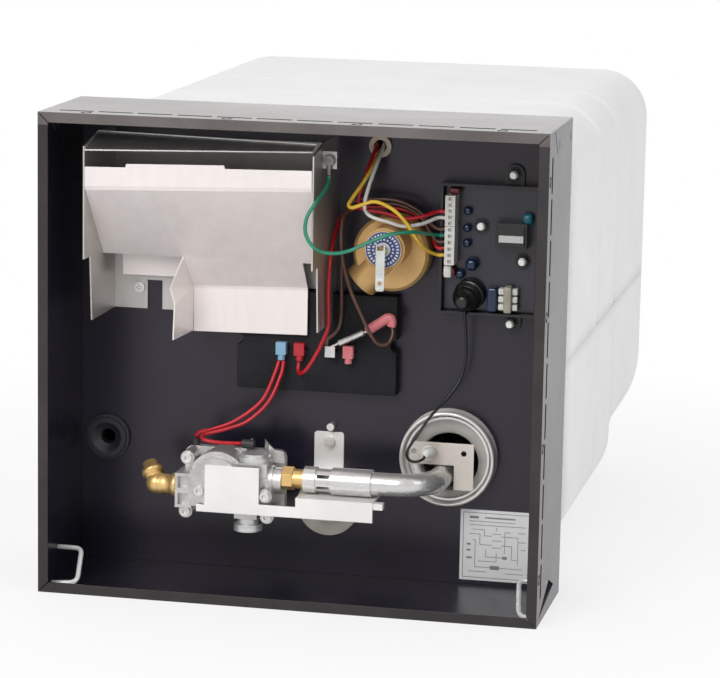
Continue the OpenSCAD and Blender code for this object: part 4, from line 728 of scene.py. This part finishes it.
lever_steel = finish("lever_steel", (0.56, 0.58, 0.55), (0.68, 0.70, 0.67), (0.26, 0.4),
                     metallic=0.4, scale=120, depth=0.00002)
dress(forged_brass(), "relief_body", "relief_stem")
dress(brass, "relief_pin")
dress(plate_material(), "relief_plate")
strip_half = np.array([3.0, 3.0, 2.95, 2.9, 2.9])
strip = lever_band(-strip_half, strip_half, np.array([0.6, -1.5, -6, -11, -17]))
turn = np.linspace(0, 2 * np.pi, 33)
reach = np.minimum(EYE_HALF_WIDTH / np.maximum(np.abs(np.cos(turn)), 1e-9),
                   EYE_HALF_HEIGHT / np.maximum(np.abs(np.sin(turn)), 1e-9))
eye = np.stack([lever_row(r * np.cos(turn), EYE_Z + r * np.sin(turn)) for r in (EYE_RADIUS, reach)])
tip_half = np.array([2.9, 2.7, 2.1])
tip = lever_band(-tip_half, tip_half, np.array([-23, -24.2, -25.0]))
prong_z = np.array([0.6, 2.2, 4.0, 5.2])
prong_in = np.array([1.7, 2.0, 2.0, 2.1])
prong_out = np.array([3.0, 3.0, 3.0, 2.8])
prongs = [lever_band(side * prong_in, side * prong_out, prong_z) for side in (-1, 1)]
ear_z = np.linspace(-3, 3, 5)
ear_turn = np.linspace(-1, 1, 5)
ear_round = EAR_CENTRE - EAR_RADIUS * np.cos(ear_turn)
ears = [np.stack([lever_row(ear_x, ear_z, EAR_FRONT), lever_row(ear_x, ear_z, EAR_REAR),
                  lever_row(ear_x, EAR_RADIUS * np.sin(ear_turn), ear_round)])
        for ear_x in (-EAR_SIDE, EAR_SIDE)]
lever = surface("test_lever", *[on_panel(grid) for grid in (strip, eye, tip, *prongs, *ears)], smooth=False)
fit(thicken(lever, LEVER_SHEET, 0.0, SHEET_EDGE), lever_steel, "relief_lever", body="relief_lever")


# Thermostats: two button thermostats under a pad of black felt, with vinyl-sleeved flag terminals
# and a tubular thermal fuse between two of them, whose far end has a bent vinyl sleeve.

SLEEVE_RADIUS = 0.0029
SLEEVE_ROUTE = ((46.8, 20, 175.5), (49.4, 20, 177.2), (51.2, 20, 176.8), (52, 20, 174.8), (51.6, 20, 171.8))


def felt_material():
    """Black felt: short crossing fibres in relief and a dusty mottle."""
    material, tree, shader = start_material("black_felt")
    fibre = math(tree, "MAXIMUM", grain(tree, 500, 2, (1, 1, 7)), grain(tree, 500, 2, (7, 1, 1)))
    colour = shades(tree, grain(tree, 24, 5), (0.008, 0.008, 0.010), (0.020, 0.019, 0.022))
    coat(tree, shader, colour, spread(tree, fibre, 0.7, 0.95))
    shader.inputs["Specular IOR Level"].default_value = 0.3
    emboss(tree, shader, fibre, 0.0003, 0.0008)
    return material


def smooth_route(points, steps=10):
    """Catmull-Rom curve through the points: each stretch is a cubic of its four nearest points."""
    p = np.vstack([points[0], points, points[-1]]).astype(float)
    t = np.linspace(0, 1, steps, endpoint=False)[:, None, None]
    a, b, c, d = p[:-3], p[1:-2], p[2:-1], p[3:]
    square = (2 * a - 5 * b + 4 * c - d) * t ** 2
    cube = (3 * b - a - 3 * c + d) * t ** 3
    curve = 0.5 * (2 * b + (c - a) * t + square + cube)
    return np.vstack([curve.transpose(1, 0, 2).reshape(-1, 3), p[-1]])


def tube_grid(path, radius, sides=14):
    """Round tube with closed ends: a circle carried along the path on axes that turn as little as can be."""
    ahead = np.gradient(path, axis=0)
    ahead /= np.linalg.norm(ahead, axis=1)[:, None]
    side = np.empty_like(ahead)
    start = np.cross(ahead[0], [0.31, 0.23, 0.92])
    side[0] = start / np.linalg.norm(start)
    for i in range(1, len(path)):
        step = side[i - 1] - ahead[i] * (side[i - 1] @ ahead[i])
        side[i] = step / np.linalg.norm(step)
    other = np.cross(ahead, side)
    turn = np.linspace(0, 2 * np.pi, sides, endpoint=False)
    ring = np.cos(turn)[None, :, None] * side[:, None] + np.sin(turn)[None, :, None] * other[:, None]
    ends = [np.repeat(path[[k]][:, None], sides, axis=1) for k in (0, -1)]
    return np.concatenate([ends[0], path[:, None] + radius * ring, ends[1]])


pink_vinyl = finish("vinyl_pink", (0.62, 0.15, 0.17), (0.74, 0.25, 0.27), (0.3, 0.4))
dress(felt_material(), "thermostat_cover")
dress(black_plastic, "limit_thermostat", "control_thermostat")
dress(steel_bright, "thermal_fuse")
dress(finish("vinyl_blue", (0.20, 0.40, 0.58), (0.28, 0.48, 0.66), (0.3, 0.4)), "blue_terminal")
dress(finish("vinyl_red", (0.42, 0.012, 0.022), (0.52, 0.02, 0.03), (0.3, 0.4)), "red_terminal")
dress(pink_vinyl, "pink_terminals")
sleeve_tube = tube_grid(on_panel(smooth_route(SLEEVE_ROUTE)), SLEEVE_RADIUS, 20)
pink_elbow = surface("sleeve_elbow", sleeve_tube, closed=True)
pink_elbow.data.materials.append(pink_vinyl)
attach(pink_elbow, "heater")


# Gas valve: a die-cast body with two turned caps, socket screws, rubber boots on its coils, and a brass elbow
# and orifice. The casting has a fine pebbled skin and the caps are turned bright.

ELBOW_CENTRE, ELBOW_RADIUS = (-95.4, 46, 65.6), 6.8
ELBOW_FLANGE, ELBOW_WAY = (-80.1, 46, 65.5), (-0.45, -0.55, 0.70)
FLANGE_PROFILE = ((0, 0), (7.6, 0), (7.6, 4.4), (6.4, 4.8), (6.4, 11.4), (6.8, 12), (6.8, 13.4), (5, 15.4),
                  (0, 15.4))
NIPPLE_PROFILE = ((0, 0), (5.6, 0), (5.6, 7), (7.0, 7.2), (7.0, 10.2), (4.9, 10.4), (4.9, 15.5), (3.6, 15.9),
                  (3.2, 11), (0, 11))

casting = finish("die_casting", (0.46, 0.45, 0.44), (0.66, 0.65, 0.635), (0.3, 0.44),
                 metallic=0.75, scale=120, fine=1400, depth=0.00006)
turned_cap = finish("turned_cap", (0.55, 0.55, 0.55), (0.70, 0.70, 0.69), (0.26, 0.38),
                    metallic=0.6, scale=30, fine=1600, depth=0.00004, stretch=(1, 1, 30))
dress(casting, "gas_valve_body")
dress(turned_cap, "gas_valve_caps")
dress(steel_bright, "gas_valve_screws")
dress(black_rubber, "coil_boots")
dress(brass, "gas_orifice")
elbow = surface("brass_elbow", turned(FLANGE_PROFILE, ELBOW_FLANGE, (-1, 0, 0)),
                bead(ELBOW_CENTRE, ELBOW_RADIUS), turned(NIPPLE_PROFILE, ELBOW_CENTRE, ELBOW_WAY),
                closed=True)
fit(elbow, brass, "inlet_elbow")


# Burner: a plated bracket and tube with a sliding air shutter, a bright pressed ring round the flue's lower
# mouth, and an igniter on a bent plate. The igniter's ceramic is curved and takes the spark lead at its end.

RING_CENTRE = (87.6, 0, 85.3)
RING_PROFILE = (
    (31.4, 0), (31.6, 0.4), (31.6, 1.2), (30.6, 1.8), (30.2, 3), (30.2, 8.6), (30.9, 9.4), (31.2, 10.4),
    (30.8, 11.4), (29.9, 11.9), (29.0, 11.4), (28.6, 10.4), (28.4, 8.6), (27.4, 6.6), (25, 4.6), (22, 3.2),
    (19.6, 2.2), (18.9, 1.0), (18.9, -6))
FUNNEL_DROP = np.array([0.4, 1.2, 2.2, 3.0, 3.4, 3.4]) / 1000
CERAMIC_RADIUS = 0.0030
CERAMIC_ROUTE = ((77.6, 10, 89.6), (78.4, 16, 90), (79.8, 20.4, 91.2), (79.6, 24, 92.8), (77.8, 26.4, 92.6),
                 (76.1, 27, 91))
COLLAR_PROFILE = ((0, -0.4), (5.4, -0.4), (5.6, 0.4), (5.6, 1.8), (5.0, 2.4), (3.0, 2.8), (0, 2.8))
COLLAR_CENTRE = (76.6, 15.3, 90)

plated_bracket = finish("plated_bracket", (0.83, 0.82, 0.80), (0.93, 0.92, 0.90), (0.3, 0.42),
                        metallic=0.3, scale=30, depth=0.00002)
drawn_tube = finish("drawn_tube", (0.60, 0.59, 0.58), (0.74, 0.73, 0.72), (0.2, 0.32),
                    metallic=0.6, scale=40, depth=0.00001, stretch=(0.4, 6, 6))
heat_tinted = finish("heat_tinted_sheet", (0.66, 0.60, 0.54), (0.78, 0.72, 0.66), (0.34, 0.46),
                     metallic=0.2, scale=26, depth=0.00002)
bright_ring = finish("bright_ring", (0.76, 0.74, 0.71), (0.94, 0.92, 0.88), (0.14, 0.28),
                     metallic=0.35, depth=0.00002)
white_ceramic = finish("white_ceramic", (0.74, 0.73, 0.68), (0.82, 0.81, 0.77), (0.2, 0.32))
dress(plated_bracket, "burner_bracket")
dress(steel_bright, "bracket_screws")
dress(drawn_tube, "burner_tube", "air_shutter")
dress(heat_tinted, "igniter_plate")
ring = turned(RING_PROFILE, RING_CENTRE, (0, 1, 0), 72)
ring[-len(FUNNEL_DROP):, :, 2] -= FUNNEL_DROP[:, None]
fit(surface("burner_mouth", ring, closed=True), bright_ring, "burner_ring")
ceramic_tube = tube_grid(on_panel(smooth_route(CERAMIC_ROUTE)), CERAMIC_RADIUS, 20)
collar = turned(COLLAR_PROFILE, COLLAR_CENTRE, (0, 1, 0))
fit(surface("igniter_ceramic", ceramic_tube, collar, closed=True), white_ceramic, "igniter")


# Wiring label: a pale foil label stuck to the lower right corner of the panel.
# It is printed in dark grey with a plain schematic of lines and blocks inside a border.

LABEL_LEFT, LABEL_LOW, LABEL_FACE = 95.8, 4.0, 0.42
LINE_WIDTH, CORNER_CUT = 0.4, 0.05
LABEL_RUNS = (
    ((2, 2), (45, 2)), ((45, 2), (45, 45)), ((45, 45), (2, 45)), ((2, 45), (2, 2)), ((6, 39.4), (36, 39.4)),
    ((6, 37), (43, 37)), ((8, 34), (16, 34), (16, 30), (21, 30)), ((6, 31), (13, 31), (13, 24), (21, 24)),
    ((27, 30), (38, 30), (38, 12)), ((27, 24), (34, 24), (34, 15), (38, 15)),
    ((8, 27), (10, 27), (10, 9), (20, 9)), ((26, 9), (41, 9)), ((17, 21), (17, 16), (28, 16)),
    ((24, 33.4), (24, 36)), ((29.4, 19), (29.4, 33), (33, 33)), ((12, 13), (24, 13), (24, 19)),
    ((6, 6), (18, 6)), ((30, 5.6), (42, 5.6)), ((38, 33), (43, 33)), ((38, 27), (43, 27)),
    ((40, 22), (43, 22)))
LABEL_BLOCKS = (
    (21, 27, 27, 0.4), (21, 27, 31.6, 0.4), (21, 27, 22.4, 0.4), (20, 26, 9, 2.6), (6, 12, 42, 1.6),
    (16, 36, 42, 1.0), (28, 31, 16, 2.0), (4.4, 7, 24, 1.2), (4.4, 7, 20, 1.2), (4.4, 8, 15, 1.2))


def ribbon(points, width):
    """Flat printed line: the points, each with a twin a line's width away across the run."""
    p = np.asarray(points, float)
    run = np.gradient(p, axis=0)
    across = np.stack([-run[:, 1], run[:, 0]], 1) / np.linalg.norm(run, axis=1)[:, None] * width / 2
    pair = np.stack([p - across, p + across], 1)
    return on_panel(sheet_row(LABEL_LEFT + pair[..., 0], LABEL_FACE, LABEL_LOW + pair[..., 1]))


def corner_run(corners):
    """Points of a line with square corners: each corner twice, a hair before and after the turn."""
    p = np.asarray(corners, float)
    step = np.diff(p, axis=0)
    step = step / np.linalg.norm(step, axis=1)[:, None] * CORNER_CUT
    turns = np.stack([p[1:-1] - step[:-1], p[1:-1] + step[1:]], 1).reshape(-1, 2)
    return np.vstack([p[:1], turns, p[-1:]])


label_foil = finish("label_foil", (0.92, 0.925, 0.92), (0.97, 0.975, 0.97), (0.34, 0.46),
                    metallic=0.05, scale=30, depth=0.00002)
dress(label_foil, "wiring_label")
label_lines = [ribbon(corner_run(run), LINE_WIDTH) for run in LABEL_RUNS]
label_blocks = [ribbon([(left, z), (right, z)], width) for left, right, z, width in LABEL_BLOCKS]
label_ink = surface("label_print", *label_lines, *label_blocks, smooth=False)
label_ink.data.materials.append(finish("printed_ink", (0.20, 0.20, 0.22), (0.34, 0.34, 0.36), (0.4, 0.5)))
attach(label_ink, "heater")


# Leads: stranded wire in smooth plastic, from plug to terminal, and the black spark lead.
# Each follows the route of its solid; the one to the gas valve's second coil turns a little more gently.

LEAD_DIAMETER, SPARK_DIAMETER = 0.0024, 0.0018


def lead_vinyl(name, dark, pale):
    """Wire insulation: a plain glossy colour with slight mottle."""
    return finish(name, dark, pale, (0.28, 0.4), scale=120, fine=800, depth=0.00002)


def plug(z):
    """End of a lead in its connector."""
    return 84.2, 15.8, z


def stub(z):
    """Where a lead leaves its connector."""
    return 79.2, 16.2, z


def lay_lead(name, solid, material, points, diameter=LEAD_DIAMETER):
    """Makes one lead on its route and lets it stand for the CAD solid."""
    path = on_panel(smooth_route(np.array(points)))
    piece = fit(surface(name, tube_grid(path, diameter / 2), closed=True), material, solid)


red_vinyl = lead_vinyl("lead_red", (0.46, 0.006, 0.014), (0.56, 0.012, 0.024))
white_vinyl = lead_vinyl("lead_white", (0.72, 0.70, 0.67), (0.80, 0.78, 0.75))
yellow_vinyl = lead_vinyl("lead_yellow", (0.74, 0.46, 0.03), (0.84, 0.56, 0.06))
green_vinyl = lead_vinyl("lead_green", (0.016, 0.20, 0.12), (0.03, 0.28, 0.17))
brown_vinyl = lead_vinyl("lead_brown", (0.075, 0.03, 0.02), (0.11, 0.05, 0.035))
black_vinyl = lead_vinyl("lead_black", (0.008, 0.008, 0.008), (0.016, 0.016, 0.016))
lay_lead("red_supply", "wires_red", red_vinyl, [
    (36.5, 1, 285.7), (36, 9, 281), (33.5, 18, 270), (31, 23, 259), (30, 25.5, 252), (32, 27, 248),
    (38, 27.5, 246.5), (47, 27, 245.5), (60, 27, 242.5), (71, 23, 244), stub(246.5), plug(246.5)])
lay_lead("red_limit", "wires_red", red_vinyl, [
    plug(223.5), stub(223.5), (75.8, 12, 228.5), (69, 9.5, 239.5), (56, 9, 245.5), (42, 9, 246.5),
    (30, 9, 246), (21, 9, 243.5), (15.2, 11, 238), (13.6, 18, 230), (13.5, 27, 221), (13.5, 33, 210),
    (13.5, 35, 195), (13.5, 34, 183), (12.8, 31, 171), (8, 27, 160), (3, 26, 150), (-2, 26, 142),
    (-7, 22, 138), (-9.5, 17.5, 139.5), (-9.7, 15.5, 143.9)])
lay_lead("red_valve", "wires_red", red_vinyl, [
    (-22.9, 14.5, 144.2), (-25, 18, 136), (-31, 27, 120), (-46, 33, 107.5), (-61, 35, 101), (-69.5, 34, 98.5),
    (-73, 33, 95.2)])
lay_lead("red_coil", "wires_red", red_vinyl, [
    (-19.9, 14.5, 144.2), (-21, 18, 135), (-27, 26, 119), (-39, 31.5, 107), (-51, 35.2, 102),
    (-61, 38.1, 99.2), (-64.8, 39.7, 98.4), (-66.4, 43.5, 97.6), (-64.8, 47.3, 96.8), (-61, 48.9, 96.1),
    (-54.5, 47.9, 95.3), (-47, 44.6, 94.6), (-40.4, 41, 94)])
lay_lead("white_supply", "wire_white", white_vinyl, [
    (40.5, 1, 285.7), (40.4, 9, 281), (38.5, 20, 271), (36, 27.5, 259), (35, 31, 250.5), (37, 33, 245.8),
    (42, 33.5, 243), (50, 33.5, 241), (60, 32.5, 238.5), (71, 26, 239.6), stub(242.5), plug(242.5)])
lay_lead("yellow_supply", "wire_yellow", yellow_vinyl, [
    (38.5, 1, 282.3), (38.2, 8, 279.5), (36.5, 18, 272.5), (33, 28, 264), (28.5, 35, 256), (26.5, 39, 251.5),
    (29, 41, 250), (35, 41.5, 252), (44, 41, 254.5), (55, 40, 250), (63, 38, 242), (69, 35, 232),
    (74, 26, 223.5), stub(219), plug(219)])
lay_lead("green_earth", "wire_green", green_vinyl, [
    (15.5, 48, 270.6), (15.5, 48.6, 267.5), (15, 57, 262.5), (12.6, 73, 256), (8.6, 77.5, 248), (8, 78, 238),
    (13, 76, 229), (21, 70, 225), (32, 64, 226), (45, 61, 232), (58, 58, 237), (69, 48, 237.5),
    (75, 32, 234.5), stub(231.5), plug(231.5)])
lay_lead("brown_fuse", "wires_brown", brown_vinyl, [
    plug(235.5), stub(235.5), (74, 16, 239), (67, 16, 246), (55, 16, 251.6), (42, 16, 252.7), (29, 16, 252),
    (22, 19, 247.5), (19.5, 25, 239), (20, 30, 226), (22, 31, 212), (27, 32, 196), (34, 32, 181),
    (41, 31, 167), (46, 28, 161), (51, 25, 162), (53, 22, 168), (51.1, 20, 174)])
lay_lead("brown_control", "wires_brown", brown_vinyl, [
    plug(227.5), stub(227.5), (74.6, 14.8, 232.2), (67, 13, 242.5), (55, 12.5, 248.6), (42, 12.5, 249.6),
    (29, 12.5, 249), (22, 14, 245.5), (18.5, 17, 237), (18, 18, 222), (18, 18, 200), (18, 16, 182),
    (16.5, 14.5, 169), (12.5, 14.5, 163), (8.8, 14, 160), (8.4, 14, 156)])
lay_lead("spark_cable", "spark_lead", black_vinyl, [
    (98, 17, 184), (98.5, 17, 178), (99, 14, 165), (98.5, 12, 150), (95, 14, 137), (87, 20, 125),
    (80, 27, 117), (73, 33, 106), (67, 34, 96), (66, 33, 90.5), (69, 32, 87.5), (73, 31, 87.5), (76, 28, 89),
    (76, 26.4, 90.2)], SPARK_DIAMETER)


# Door wires: bright steel wire bent twice, hooked through the side walls at the lower corners.
# Each swings in its hole, with its foot lying on the housing's floor. Places are in mm, measured
# back from the housing's front.

FRONT_Y = -243.5
WIRE_RADIUS = 0.00158
HOOK_X, KNEE_X, TOE_X, ANKLE_SHIFT = 160.9, 143.5, 156, 3.6
HOOK_DEPTH, ANKLE_DEPTH, TOE_DEPTH = 38, 16, 12
HOOK_Z, FOOT_Z = 20.3, 3.2
KNEE_REACH, ANKLE_REACH = 5, 6


def round_corner(before, corner, after, reach, steps=10):
    """Bend at a corner: a parabola between two points that lie a short way from it."""
    a = corner + reach * (before - corner) / np.linalg.norm(before - corner)
    b = corner + reach * (after - corner) / np.linalg.norm(after - corner)
    t = np.linspace(0, 1, steps)[:, None]
    return (1 - t) ** 2 * a + 2 * t * (1 - t) * corner + t ** 2 * b


bright_wire = finish("bright_wire", (0.82, 0.82, 0.81), (0.92, 0.92, 0.91), (0.2, 0.3),
                     metallic=0.15, scale=90, fine=1200, depth=0.00001)
for hand, side in (("left", -1), ("right", 1)):
    hook, knee, ankle, toe = np.array([
        (side * HOOK_X, HOOK_DEPTH, HOOK_Z), (side * KNEE_X, HOOK_DEPTH, HOOK_Z),
        (side * KNEE_X + ANKLE_SHIFT, ANKLE_DEPTH, FOOT_Z),
        (side * TOE_X, TOE_DEPTH, FOOT_Z)]) + [0, FRONT_Y, 0]
    path = np.vstack([np.linspace(hook, knee, 8)[:5], round_corner(hook, knee, ankle, KNEE_REACH),
                      round_corner(knee, ankle, toe, ANKLE_REACH), toe]) / 1000
    wire = surface("door_wire_" + hand, tube_grid(path, WIRE_RADIUS, 20), closed=True)
    fit(wire, bright_wire, "hinge_wire_" + hand, body="hinge_wire_" + hand)
